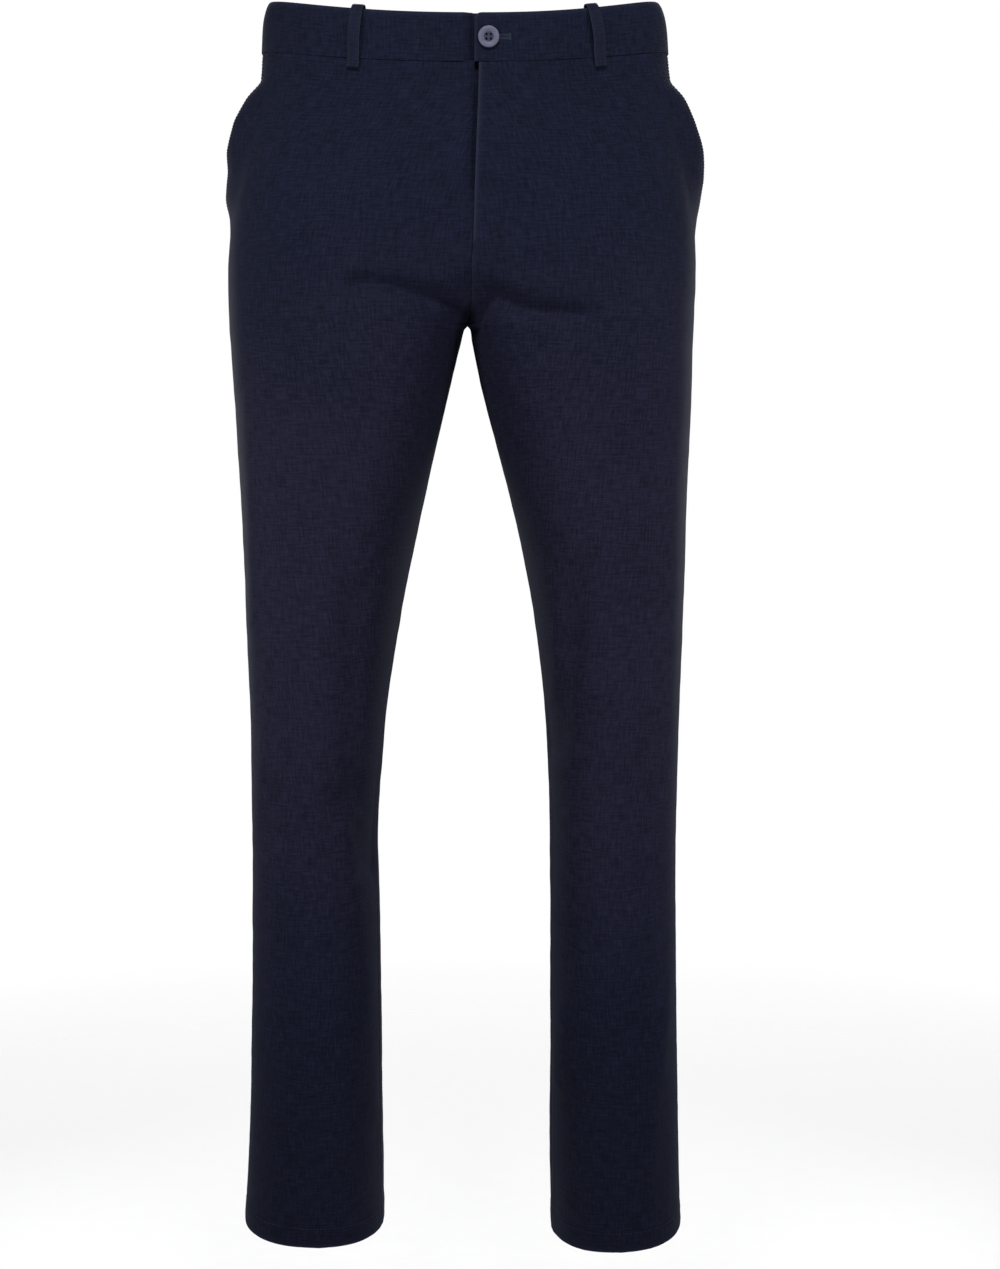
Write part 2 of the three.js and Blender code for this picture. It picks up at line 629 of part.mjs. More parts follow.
for (const side of ['left', 'right']) {
  add(`front_${side}`, panelGeometry(side, frontRow), cloth());
  add(`back_${side}`, panelGeometry(side, backRow), cloth());
  add(`pocket_facing_${side}`, facingGeometry(side), cloth());
  add(`waistband_${side}`, bandGeometry(side), cloth());
}
for (const loop of LOOPS) add(loop.name, loopGeometry(loop), cloth());
add('fly_zip', zipGeometry(), cloth());

// The button lies on the band's left end, its back parallel to the band.
const seat = sideLine('left', BUTTON_HEIGHT).at(BUTTON_FROM_FLY);
const button = add('waist_button', buttonGeometry(), plastic());
button.position.copy(moved(seat, -BUTTON_AWAY, settle(seat, BUTTON_HEIGHT)));
button.quaternion.setFromUnitVectors(new THREE.Vector3(0, 0, 1), new THREE.Vector3(seat.nx, seat.ny, 0));

export default trousers;
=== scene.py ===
"""Chino trousers, filled out as worn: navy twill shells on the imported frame, with their seams, stitching,
folds, button and zip. Sizes are millimetres until a mesh is made, and metres there. +Z is up, the front
faces -Y and +X is the wearer's left."""

import math

import bpy
import numpy as np
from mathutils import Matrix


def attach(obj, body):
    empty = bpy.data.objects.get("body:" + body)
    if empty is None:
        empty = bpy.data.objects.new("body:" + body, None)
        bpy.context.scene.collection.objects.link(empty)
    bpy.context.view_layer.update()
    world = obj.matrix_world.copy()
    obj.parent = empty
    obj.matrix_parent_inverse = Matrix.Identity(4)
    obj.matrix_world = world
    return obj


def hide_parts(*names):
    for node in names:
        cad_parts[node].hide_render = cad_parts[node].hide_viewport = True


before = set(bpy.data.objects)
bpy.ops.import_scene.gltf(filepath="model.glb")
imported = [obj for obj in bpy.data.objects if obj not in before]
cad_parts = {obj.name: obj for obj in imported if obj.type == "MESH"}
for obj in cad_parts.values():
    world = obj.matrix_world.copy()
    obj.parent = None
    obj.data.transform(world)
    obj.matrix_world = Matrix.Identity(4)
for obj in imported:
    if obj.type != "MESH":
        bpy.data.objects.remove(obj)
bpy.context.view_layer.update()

MM = 0.001

# Camera and light, in metres
CAMERA_PLACE = (0.030, -1.850, -0.280)
CAMERA_PITCH = 7.34
CAMERA_LENS = 60
FLOOR_LEVEL = -1.35
FLOOR_RADIUS = 1.9
FLOOR_FADE = 0.6  # the floor fades out from this radius

# Cloth and seams
CLOTH = 1.2
GAP = 0.3
SEAM = -0.1  # sewn edges meet, and press into each other by this much
BACK_PRESS = 0.15  # the backs press into each other by twice this at the centre back
LAP = 1.8
CORNER_STEPS = 72
DIRECTION_REACH = 1.5
SIGN = {"left": 1, "right": -1}
OTHER = {"left": "right", "right": "left"}

# Relief of seams and edges
SEAM_DITCH = 0.9
SEAM_BAND = 0.3
SEAM_TURNING = 11
SEAM_PUCKER = 0.2
TOP_DIP = 0.6
TOP_PUCKER = 0.2
HEM_ROUND = 1.4  # the radius of the hem's lower edge
HEM_IN = 1.1
HEM_THIN = 0.7
HEM_GROOVE = 0.32
HEM_STEP = 0.35
HEM_RIPPLE = 0.16
MOUTH_ROLL = 0.75
MOUTH_BAND = 0.3
MOUTH_PUCKER = 0.15
FLY_ROLL = 0.75
FLY_FULL = 0.2
FLY_GROOVE = 0.55
FLY_WAVE = 0.18
CREASE_SHARP = 0.45
CREASE_BROAD = 0.5

# Waistband
BAND_TOP = 20
BAND_BOTTOM = -20.5
BAND_THICK = 3
BAND_PROUD = 0.5
BAND_LAP = BAND_THICK + 2 * GAP
BAND_GAP = -0.3  # the panels' top edges press into the band by this much
BAND_OVERLAP = 3.7
BAND_UNDERLAP = 34
BAND_ROUND = 6  # the top corner of each end
BAND_ROUNDING = 0.75  # how much of that corner shows
BAND_EDGE = 1
BAND_FULL = 0.25
BAND_WAVE = 0.16
BAND_PUCKER = 0.14
BAND_ROLL = 0.5
BAND_LIP = 1.1  # the band's outer layer hangs over the panels' top edges
BAND_SINK = 2.2  # the right end falls this much further in under the left end
WAIST_FRONT = 113
WAIST_BACK = 112
FRONT_DROP = 23.2
BACK_RISE = 9
DROP_ENDS = -150

# Fly
FLY_BOTTOM = -187
FLY_UNDERLAP = 12
FLY_DEPTH = LAP + 0.25
FLY_FLAT = 1.5
FLY_EASE = 9
FLY_SINK = 4  # the right front falls this much further in beside the fly edge
ZIP_TOP = -26
ZIP_BOTTOM = -178
ZIP_WIDE = 26
ZIP_TAPE = 0.7
CHAIN_WIDE = 6
TOOTH_PITCH = 2.4
TOOTH_SIZE = (3.4, 1.3, 0.9)
TOOTH_ASIDE = 1.1
SLIDER_SIZE = (5.6, 1.5, 5.5)
SLIDER_UP = 2.5

# Side pockets
MOUTH_TOP = -20
MOUTH_BOTTOM = -174
MOUTH_SLANT = 26
FLARE_WIDE = 46
FACING_UNDER_FRONT = 24
FACING_UNDER_BACK = 8
FACING_BOTTOM = -190
FACING_DEPTH = LAP + 1.0
FACING_WAVE = 0.3

# Legs
CROTCH = -249
HEM = {"left": -1063.5, "right": -1059}
HEM_TURN = 20
HEM_STITCH = 17.6
HEM_TILT = 0.04
HEM_MIDDLE = 137
TILT_STARTS = -950
TILT_ENDS = -1050
INSEAM_FORWARD = 20
SWING_ENDS = -900
SWING_POINTS = 60

# Belt loops
LOOP_WIDE = 10.5
LOOP_THICK = 1.6
LOOP_SAG = 3.1
LOOP_EASE = 0.8
LOOP_LIFT = 1.2  # how far the front loops' edges towards the fly stand off
LOOP_EDGE = 0.55
LOOP_BULGE = 0.12
LOOP_GROOVE = 0.16
LOOP_STITCH_INSET = 1.9
LOOP_STEPS = 70
LOOP_FLAT = GAP + LOOP_THICK / 2
LOOP_INSIDE = -BAND_THICK - LOOP_FLAT - LOOP_EASE
LOOPS = [
    {"name": "belt_loop_front_left", "side": "left", "from_fly": 93, "lean": 6},
    {"name": "belt_loop_front_right", "side": "right", "from_fly": 99, "lean": 3},
    {"name": "belt_loop_side_left", "side": "left", "from_back": 165, "lean": 0},
    {"name": "belt_loop_side_right", "side": "right", "from_back": 165, "lean": 0},
    {"name": "belt_loop_back", "side": None, "from_back": 0, "lean": 0},
]

# Button
BUTTON_WIDE = 17
BUTTON_THICK = 3
BUTTON_FROM_FLY = 7.6
BUTTON_AWAY = BAND_PROUD + GAP + 0.3
BUTTON_RIM = 2.4
BUTTON_EDGE = 0.9
BUTTON_BACK_EDGE = 0.8
BUTTON_DISH_WIDE = 1.8
BUTTON_DISH_DEEP = 1.12
BUTTON_SPOKES = 72
DISH_RADIUS = 3.7
HOLE_WIDE = 2
HOLE_APART = 1.8
HOLE_SPOKES = 24

# Stitches
STITCH_LONG = 2.3
STITCH_WIDE = 0.42
STITCH_PITCH = 2.8
HEM_PITCH = 3.2
LOOP_PITCH = 2.7
LOOP_STITCH_LONG = 2.2
BAR_LONG = 5.4
MOUTH_STITCHES = (1.6, 6.5)  # the two rows' distances from the mouth's edge
BUTTONHOLE = (9, 24.5)
BUTTONHOLE_PITCH = 0.55
BUTTONHOLE_HALF = 1.35

OUTER_POWER = 2.3


def table(names, rows):
    """Rows of values as a dictionary of named columns."""
    return {name: np.array(column) for name, column in zip(names.split(), zip(*rows))}


# The trousers' sections from the waist down, a row for each level: the outer edge of each side, the inner
# edge of each leg from the seam line, the share that a side's section runs past the seam line, the front,
# back and widest line in y, the seams in x, and the power that squares the inner corners
SECTIONS = table(
    "z rightOut leftOut rightIn leftIn past front back widest frontSeam backSeam square",
    [
        (20, 158.5, 158, 0, 0, 1, -112, 110, 0, 13.4, 0, 2.3),
        (17, 163.4, 162.2, 0, 0, 1, -112.3, 110.5, 0, 13.4, 0, 2.3),
        (11, 167.2, 166.8, 0, 0, 1, -112.6, 111, 0, 13.4, 0, 2.3),
        (0, 170, 170, 0, 0, 1, -WAIST_FRONT, WAIST_BACK, 0, 13.4, 0, 2.3),
        (-20, 171.6, 172.4, 0, 0, 0.98, -114, 114, 1, 13.2, 0, 2.4),
        (-45, 173.2, 175, 0, 0, 0.93, -116, 122, 3, 12.7, 0, 2.5),
        (-60, 177, 179, 0, 0, 0.88, -117, 127, 5, 12.3, 0, 2.6),
        (-100, 189.5, 188.5, 0, 0, 0.74, -120, 139, 8, 11, 0, 2.8),
        (-140, 198, 195, 0, 0, 0.58, -120, 147, 10, 9.8, 0.5, 3),
        (-180, 202.4, 198, 0, 0, 0.36, -118, 150, 11, 8.4, 1, 3.2),
        (-200, 204, 198.5, 0, 0, 0.23, -117, 149, 12, 7.2, 1.3, 3.3),
        (-220, 204.2, 198.2, 0, 0, 0.1, -115, 147, 11, 7, 1.5, 3.4),
        (-235, 203.9, 197.7, 0, 0, 0.033, -113, 144, 11, 5.6, 1.7, 3.4),
        (-244, 203.6, 197.3, 0, 0, 0.0075, -112, 142, 10, 3.2, 1.7, 3.4),
        (-249, 203.4, 197.1, 0.15, 0.15, 0, -111, 141, 10, 1.7, 1.7, 3.4),
        (-252, 203.3, 197, 2.7, 2.3, 0, -110.7, 140.4, 10, 1.7, 1.7, 3.4),
        (-265, 202.6, 196.5, 6.4, 4.8, 0, -109, 137, 10, 1.7, 1.7, 3.2),
        (-300, 200.5, 195.8, 15.2, 11.8, 0, -105, 129, 8, 1.7, 1.7, 2.9),
        (-360, 197.6, 194.5, 29.4, 27.4, 0, -99, 115, 6, 1.7, 1.7, 2.5),
        (-400, 195.5, 193.1, 38.4, 37.9, 0, -95, 106, 5, 1.7, 1.7, 2.4),
        (-450, 194, 191.9, 49.1, 49.4, 0, -91, 99, 4, 1.7, 1.7, 2.3),
        (-500, 192.4, 190.6, 59, 58.3, 0, -87, 93, 3, 1.7, 1.7, 2.3),
        (-600, 190.3, 188, 73.8, 69.1, 0, -79, 85, 2, 1.7, 1.7, 2.3),
        (-700, 190.3, 186.7, 80.8, 73.1, 0, -72, 83, 5, 1.7, 1.7, 2.3),
        (-800, 192.3, 188.1, 80.1, 73.5, 0, -66, 85, 9, 1.7, 1.7, 2.3),
        (-900, 195.1, 190.4, 79.2, 73.9, 0, -62, 88, 13, 1.7, 1.7, 2.3),
        (-1000, 199.5, 193.1, 79.1, 74.2, 0, -60, 90, 14, 1.7, 1.7, 2.3),
        (-1070, 204.4, 195.6, 78.5, 75.4, 0, -60, 90, 15, 1.7, 1.7, 2.3),
    ],
)

# How far each pocket mouth stands outside the hip
FLARE = table(
    "z right left",
    [
        (-45, 0, 0),
        (-60, 9.5, 9),
        (-80, 14, 13),
        (-100, 13.5, 15),
        (-120, 9, 12.5),
        (-140, 7.5, 7.5),
        (-160, 2, 2.5),
        (-174, 0, 0),
    ],
)

# The folds, each a soft trough, or a ridge where its depth is less than 0, from one place (x, z) to another
FOLDS = table(
    "face fromX fromZ toX toZ depth wide",
    [
        ("front", -88, -216, -65, -217, 7, 8),
        ("front", -52, -219.5, -41, -223, 8.5, 8),
        ("front", -28, -226, 2, -230, 7.5, 8),
        ("front", 19, -221, 30, -226, 7, 8),
        ("front", 42, -232, 47.5, -235, 8.5, 8),
        ("front", 60.5, -238.5, 100, -241, 8, 8),
        ("front", 0, -128, -58, -168, -2, 13),
        ("front", -58, -168, -106, -228, -2, 13),
        ("front", -92, -475, -100, -650, 4, 15),
        ("front", -100, -650, -84, -720, 3, 13),
        ("front", 88, -455, 90, -520, 3, 12),
        ("front", 90, -520, 80, -610, 3, 12),
        ("front", 171, -850, 158, -985, -3, 12),
        ("back", -150, -215, -30, -262, 4, 13),
        ("back", 150, -220, 30, -262, 4, 13),
        ("back", -130, -300, -60, -325, 3, 12),
        ("back", 135, -305, 60, -322, 3, 12),
        ("back", -165, -560, -95, -590, 4, 14),
        ("back", 165, -575, 95, -600, 4, 14),
        ("back", -160, -650, -100, -630, 3, 13),
        ("back", 160, -655, 100, -640, 3, 13),
    ],
)

# Smaller folds, which only the shells have
SMALL_FOLDS = table(
    "face fromX fromZ toX toZ depth wide",
    [
        ("front", 30, -206, 103, -204, 0.9, 7),
        ("front", -51, -246, -92, -266, 0.9, 6),
        ("front", -52, -303, -70, -312, 0.8, 6),
        ("front", 22, -246, 63, -250, -1.0, 8),
        ("front", -180, -312, -182, -500, -1.2, 7),
        ("front", -165, -517, -171, -598, -0.9, 6),
        ("front", -171, -598, -181, -680, -0.9, 6),
        ("front", -107, -595, -102, -677, -1.2, 7),
        ("front", -102, -677, -86, -831, -1.2, 7),
        ("front", -86, -831, -80, -951, -0.8, 7),
        ("front", -104, -880, -104, -915, -0.8, 14),
        ("front", 81, -448, 75, -569, -0.8, 4),
        ("front", 176, -337, 173, -567, -1.0, 9),
        ("front", 117, -756, 100, -804, -1.2, 6),
        ("front", 100, -804, 85, -858, -1.2, 6),
        ("front", 85, -858, 80, -918, -0.9, 6),
        ("front", 179, -817, 171, -896, -0.9, 6),
        ("front", 163, -982, 161, -1037, -0.8, 6),
        ("front", 30, -143, 36, -150, 0.7, 5),
        ("front", 36, -164, 41, -172, 0.8, 5),
        ("front", 17, -231, 9, -252, 4, 4.5),
        ("front", 36, -62, 37, -100, -0.7, 2.5),
        ("front", 35, -100, 34, -150, -0.5, 3),
        ("front", -120, -300, -60, -345, 0.8, 10),
        ("front", 60, -300, 130, -330, 0.7, 10),
        ("back", 40, -120, 105, -180, -1.2, 14),
        ("back", -36, -128, -98, -190, -1.2, 14),
        ("back", 20, -236, 70, -216, 1.6, 8),
        ("back", -18, -232, -76, -220, 1.6, 8),
        ("back", 60, -345, 120, -352, 1.0, 9),
        ("back", -72, -352, -118, -345, 1.0, 9),
        ("back", 176, -330, 178, -470, -1.0, 8),
        ("back", -182, -350, -180, -500, -1.0, 8),
        ("back", 105, -540, 150, -530, 1.4, 10),
        ("back", -108, -545, -150, -528, 1.4, 10),
        ("back", 98, -700, 140, -720, 1.2, 10),
        ("back", -92, -705, -140, -700, 1.2, 10),
        ("back", 108, -790, 96, -900, -1.0, 8),
        ("back", -112, -800, -98, -930, -1.0, 8),
    ],
)

# The pressed crease down the front and back of each leg, as x at a height
CREASES = {
    ("front", "right"): table(
        "z x", [(-330, -106), (-377, -110), (-593, -125.5), (-983, -130), (-1070, -131)],
    ),
    ("front", "left"): table("z x", [(-330, 131), (-477, 139), (-676, 144), (-860, 141), (-1070, 137.5)]),
    ("back", "right"): table("z x", [(-330, -112), (-420, -120), (-593, -130), (-983, -139), (-1070, -141)]),
    ("back", "left"): table("z x", [(-330, 112), (-420, 121), (-676, 131), (-860, 134), (-1070, 136)]),
}
CREASE_FADES = (-330, -430)

# The cloth's own waves: the depth, the shares of x and z that each runs along, the pitch and a step of the
# seed
WAVES = [
    (0.55, 0.35, 1, 170, 0),
    (0.4, 1, -0.2, 90, 5),
    (0.16, 0.8, 1, 34, 9),
    (0.12, -1.3, 1, 27, 13),
]
WAVE_SEEDS = {("front", "left"): 1, ("front", "right"): 2, ("back", "left"): 3, ("back", "right"): 4}

# The fly's stitching, as the distance from the fly edge at a level
FLY_STITCH = [(30, -22), (31, -146), (29.4, -160), (25.5, -170.5), (18, -178), (8, -182.5), (1.5, -184)]

# Colours, linear
NAVY = (0.0097, 0.0119, 0.0280)
WARM_NAVY = (0.0135, 0.0132, 0.0288)  # where the legs are a little redder
THREAD = (0.018, 0.021, 0.042)
HOLE_THREAD = (0.020, 0.030, 0.055)
BUTTON_THREAD = (0.0045, 0.0055, 0.012)
# Paler navy for worn edges, also used as painted highlight along the fly edge and over the belt loops
WORN_AND_PAINTED_HIGHLIGHT = (0.036, 0.041, 0.068)
RIM_DARK, RIM_PALE = (0.100, 0.102, 0.165), (0.165, 0.168, 0.255)
DISH = (0.030, 0.035, 0.070)
TAPE_DARK, TAPE_PALE = (0.008, 0.008, 0.016), (0.017, 0.017, 0.030)
FLOOR_DARK, FLOOR_PALE = (0.90, 0.90, 0.905), (0.93, 0.93, 0.93)
SHEEN = {
    "Specular IOR Level": 0.06,
    "Sheen Weight": 0.02,
    "Sheen Roughness": 0.45,
    "Sheen Tint": (0.55, 0.60, 0.85, 1),
}


def ease(t):
    """0 before 0, 1 after 1 and a smooth step, 3t2 - 2t3, between."""
    part = np.clip(t, 0, 1)
    return part * part * (3 - 2 * part)


def bell(distance, wide):
    """A bell curve, 1 at 0 and exp(-1) at the given width."""
    return np.exp(-((distance / wide) ** 2))


def cubic(t, span, value, slope, low):
    """A cubic between two rows: their values and slopes weighed by the powers of t, 0 to 1 between them."""
    ends = ((2 * t - 3) * t * t + 1) * value[low - 1] + (3 - 2 * t) * t * t * value[low]
    return ends + span * (((t - 2) * t + 1) * t * slope[low - 1] + (t - 1) * t * t * slope[low])


def level(rows, column, z):
    """A column's value at heights z: a cubic through the rows, whose slope at each row is the harmonic mean
    of the slopes beside it, or 0 where it turns."""
    at, value = rows["z"].astype(float), rows[column].astype(float)
    secant = np.diff(value) / np.diff(at)
    before, after = secant[:-1], secant[1:]
    total = np.where(before + after == 0, 1, before + after)
    turning = np.where(before * after > 0, 2 * before * after / total, 0)
    slope = np.concatenate([secant[:1], turning, secant[-1:]])
    z = np.asarray(z, float)
    low = np.clip(np.searchsorted(-at, -z), 1, len(at) - 1)
    span = at[low] - at[low - 1]
    return cubic(np.clip((z - at[low - 1]) / span, 0, 1), span, value, slope, low)


def uneven(t, pitch, seed):
    """A wavy value about 0: four sines with pitches around the given one, each shifted by the seed."""
    shares = np.array([0.71, 1.0, 1.37, 1.93])
    angles = 2 * math.pi * np.asarray(t)[..., None] / (pitch * shares) + seed * shares * 7.3
    return np.sin(angles).sum(-1) / 4


def squared(part, power):
    """A sine or cosine of a squared ellipse: the circle's own, to the power 2/power."""
    return np.maximum(part, 0) ** (2 / power)


def face_points(face, side, z):
    """A face's line at each height z, from the seam or inside leg to the side seam: a squared quarter
    ellipse cut at the seam plane, then a rounder one."""
    sign = SIGN[side]
    names = (face + "Seam", side + "Out", side + "In", "past", "widest", "square", face)
    seam, out, near, past, widest, square, deepest = (level(SECTIONS, name, z)[:, None] for name in names)
    outer = sign * out
    inner = seam + sign * (near - past * sign * (outer - seam))
    half, middle = abs(outer - inner) / 2, (outer + inner) / 2
    deep = deepest - widest
    to_seam = np.minimum(half, sign * (middle - seam) - SEAM / 2)
    cut = np.arccos(np.clip(to_seam / half, 0, 1) ** (square / 2))
    steps = ease(np.linspace(0, 1, CORNER_STEPS + 1))[None, :]
    inside = cut + (math.pi / 2 - cut) * steps
    outside = math.pi / 2 * (1 - steps[:, 1:])
    x = [
        middle - sign * half * squared(np.cos(inside), square),
        middle + sign * half * squared(np.cos(outside), OUTER_POWER),
    ]
    y = [
        widest + deep * squared(np.sin(inside), square),
        widest + deep * squared(np.sin(outside), OUTER_POWER),
    ]
    return np.concatenate(x, 1), np.concatenate(y, 1)


def along(x, y):
    """The way from the first point of each row to every point of it."""
    steps = np.hypot(np.diff(x, axis=1), np.diff(y, axis=1))
    return np.concatenate([np.zeros((len(x), 1)), np.cumsum(steps, 1)], 1)


class SideLines:
    """The lines once round a side at heights z, from the centre front or inside leg, over the side seam, to
    the centre back. Below the crotch each runs on over the front again, because the inside seam lies
    forward there."""

    def __init__(self, side, z):
        self.z = np.atleast_1d(np.asarray(z, float))
        self.sign = SIGN[side]
        front_x, front_y = face_points("front", side, self.z)
        back_x, back_y = (part[:, ::-1] for part in face_points("back", side, self.z))
        self.x = np.concatenate([front_x, back_x[:, 1:], front_x[:, 1:SWING_POINTS]], 1)
        self.y = np.concatenate([front_y, back_y[:, 1:], front_y[:, 1:SWING_POINTS]], 1)
        self.way = along(self.x, self.y)
        count = front_x.shape[1]
        self.side_seam = self.way[:, count - 1]
        self.round = self.way[:, 2 * count - 2]
        self.front_start = INSEAM_FORWARD * ease((CROTCH - self.z) / (CROTCH - SWING_ENDS))
        self.last = np.where(self.z <= CROTCH, self.way[:, -1], self.round)

    def place(self, distance):
        """The points at distances (rows, columns) from the start of each row's line."""
        kept = np.clip(distance, 0, self.last[:, None])
        x = np.array([np.interp(d, w, v) for d, w, v in zip(kept, self.way, self.x)])
        y = np.array([np.interp(d, w, v) for d, w, v in zip(kept, self.way, self.y)])
        return x, y

    def at(self, distance):
        """The points with their outward normals, from the points a little way to each side."""
        x, y = self.place(distance)
        ax, ay = self.place(distance - DIRECTION_REACH)
        bx, by = self.place(distance + DIRECTION_REACH)
        size = np.maximum(np.hypot(bx - ax, by - ay), 1e-9) * self.sign
        return x, y, (by - ay) / size, (ax - bx) / size


def side_at(side, z, distance):
    """Points and normals of a side. Distances below 0 go on over the other side."""
    own = SideLines(side, z).at(np.maximum(distance, 0))
    if distance.min() >= 0:
        return own
    other = SideLines(OTHER[side], z).at(np.maximum(-distance, 0))
    return tuple(np.where(distance < 0, theirs, mine) for mine, theirs in zip(own, other))


def settle(x, y, z):
    """Heights with the waist's cut, lower at the front and higher at the back, and the tilt of the hems."""
    cut = np.where(y < 0, -FRONT_DROP * (y / WAIST_FRONT) ** 2, BACK_RISE * (y / WAIST_BACK) ** 2)
    waist = cut * ease((z - DROP_ENDS) / (BAND_TOP - DROP_ENDS))
    return z + waist + HEM_TILT * (abs(x) - HEM_MIDDLE) * ease((TILT_STARTS - z) / (TILT_STARTS - TILT_ENDS))


def from_line(u, v, au, av, bu, bv):
    """The distance of points (u, v) from the straight piece between a and b."""
    run, rise = bu - au, bv - av
    t = np.clip(((u - au) * run + (v - av) * rise) / (run**2 + rise**2), 0, 1)
    return np.hypot(u - au - t * run, v - av - t * rise)


def fold_depth(folds, face, x, z):
    """How far the folds press a face in: the sum of a bell curve across each fold's line."""
    total = np.zeros_like(x)
    rows = zip(*(folds[name] for name in "face fromX fromZ toX toZ depth wide".split()))
    for fold_face, ax, az, bx, bz, depth, wide in rows:
        if fold_face == face:
            total += depth * bell(from_line(x, z, ax, az, bx, bz), wide)
    return total


def from_path(u, v, path):
    """The distance of points (u, v) from a path of straight pieces: the least from any of them."""
    return np.min([from_line(u, v, *a, *b) for a, b in zip(path[:-1], path[1:])], 0)


def mouth_setback(z):
    """How far in front of the side seam the pocket's mouth is at a height."""
    return MOUTH_SLANT * np.maximum(0, (z - MOUTH_BOTTOM) / (MOUTH_TOP - MOUTH_BOTTOM))


def drape(face, side, x, z):
    """How far a face is pressed in: its folds, its long slow waves and faint slanting ripples, and the
    pressed crease as a fine ridge."""
    seed = WAVE_SEEDS[face, side]
    waves = sum(deep * uneven(a * x + b * z, pitch, seed + step) for deep, a, b, pitch, step in WAVES)
    from_crease = abs(x - level(CREASES[face, side], "x", z))
    top, bottom = CREASE_FADES
    pressed = CREASE_SHARP * np.exp(-from_crease / 1.8) + CREASE_BROAD * np.exp(-from_crease / 9)
    folds = fold_depth(FOLDS, face, x, z) + fold_depth(SMALL_FOLDS, face, x, z)
    return folds + waves - pressed * ease((top - z) / (top - bottom))


def seam_relief(distance, z, seed):
    """A plain seam beside a panel's edge: a ditch at the edge, the turned-in cloth as a low band beside it,
    and small puckers that fade away from it."""
    beside = np.maximum(distance, 0)
    ditch = SEAM_DITCH * np.exp(-beside)
    band = SEAM_BAND * ease((SEAM_TURNING - distance) / 4)
    return ditch - band + SEAM_PUCKER * uneven(z, 19, seed) * np.exp(-beside / 9)


def top_relief(x, z, seed):
    """A panel's top edge, which dips in under the band, with small puckers below it."""
    top = BAND_BOTTOM - BAND_GAP - z
    return TOP_DIP * ease((1.8 - top) / 1.4) + TOP_PUCKER * uneven(x, 21, seed) * np.exp(-top / 9)


def crotch_share(z, ny):
    """How much of a seam's relief there is: above the crotch only its part across the seam's plane, so that
    the two sides don't part, and none just below it."""
    return np.where(z > CROTCH, ny**2, ease((CROTCH - z) / 14))


def hem_rounding(up):
    """How rounded off a hem is at a height above its end: 1 at the end, then a quarter circle down to 0."""
    return 1 - np.sqrt(np.clip(1 - ((HEM_ROUND - np.minimum(up, HEM_ROUND)) / HEM_ROUND) ** 2, 0, 1))


def hem_relief(side, z, x):
    """The turned-up hem: a rounded lower edge, the stitching's groove and slanting ripples between."""
    up = z - HEM[side]
    groove = HEM_GROOVE * bell(up - HEM_STITCH, 0.9)
    ripples = HEM_RIPPLE * uneven(x + 0.9 * up, 8.5, 3) * ease((24 - up) / 8)
    return HEM_IN * hem_rounding(up) + groove + ripples - HEM_STEP * ease((HEM_TURN - up) / 1.5)


def underlap(z):
    """The right front's underlap at a height: how wide it is, and how far in it lies."""
    wide = np.where(z > FLY_BOTTOM, FLY_UNDERLAP * np.minimum(1, (z - FLY_BOTTOM) / FLY_EASE), 0)
    return wide, FLY_DEPTH * ease((z - FLY_BOTTOM + FLY_EASE) / FLY_EASE)


def front_limits(side, z):
    """Where a front starts and ends along its side's line, and the line's fly edge or inside seam."""
    lines = SideLines(side, z)
    wide = underlap(z)[0] if side == "right" else 0 * z
    start = np.where(z <= CROTCH, np.maximum(0, lines.front_start + SEAM / 2), -wide)
    return start, lines.side_seam - SEAM / 2 - mouth_setback(z), np.maximum(0, start)


def front_surface(side, z, distance):
    """Points on a front at heights z (rows) and distances (rows, columns) along them, with their normals,
    how far each is pressed in, and its final height."""
    start, end, first = (part[:, None] for part in front_limits(side, z))
    x, y, nx, ny = side_at(side, z, distance)
    z = z[:, None]
    height = settle(x, y, z)
    open_mouth = (z < FLARE["z"][0]) & (z > MOUTH_BOTTOM)
    flare = np.where(open_mouth, level(FLARE, side, z), 0) * ease(1 - (end - distance) / FLARE_WIDE)
    fade = ease((end - distance) / 20) * ease((distance - first) / 14)
    inwards = drape("front", side, x, height) * fade - flare
    if side == "right":
        inwards += underlap(z)[1] * ease((FLY_EASE - distance) / (FLY_EASE - FLY_FLAT))
        inwards += FLY_SINK * ease((z - FLY_BOTTOM) / 90) * ease((FLY_EASE - 2 - distance) / 5)
    seam = ease((FLY_BOTTOM - z) / 6)
    inwards += seam * crotch_share(z, ny) * seam_relief(distance - start, height, 2.1)
    if side == "left":
        above = 1 - seam
        stitch = from_path(distance, z, FLY_STITCH)
        inside = ease((30 - distance) / 3) * ease((z - FLY_BOTTOM) / 10)
        inwards += above * (FLY_ROLL * np.exp(-distance / 0.7) + FLY_GROOVE * bell(stitch, 1.3))
        inwards += above * inside * (FLY_WAVE * uneven(z, 23, 4.4) - FLY_FULL)
    mouth = ease((z - MOUTH_BOTTOM) / 6)
    from_mouth = end - distance
    inwards += (1 - mouth) * seam_relief(from_mouth, height, 5.2)
    outer_row = MOUTH_STITCHES[-1]
    band = ease((outer_row + 1 - from_mouth) / 1.5) - bell(from_mouth - outer_row, 0.8)
    puckers = MOUTH_PUCKER * uneven(z, 17, 6.3) * np.exp(-from_mouth / 8)
    inwards += mouth * (MOUTH_ROLL * np.exp(-from_mouth / 0.8) - MOUTH_BAND * band + puckers)
    inwards += top_relief(x, z, 3.3 + 2 * (side == "left")) + hem_relief(side, z, x)
    return x, y, nx, ny, inwards, height


def back_limits(side, z):
    """Where a back starts, at the side seam, and ends, at the centre back or the inside seam."""
    lines = SideLines(side, z)
    return lines.side_seam + SEAM / 2, lines.round + np.where(z <= CROTCH, lines.front_start - SEAM / 2, 0)


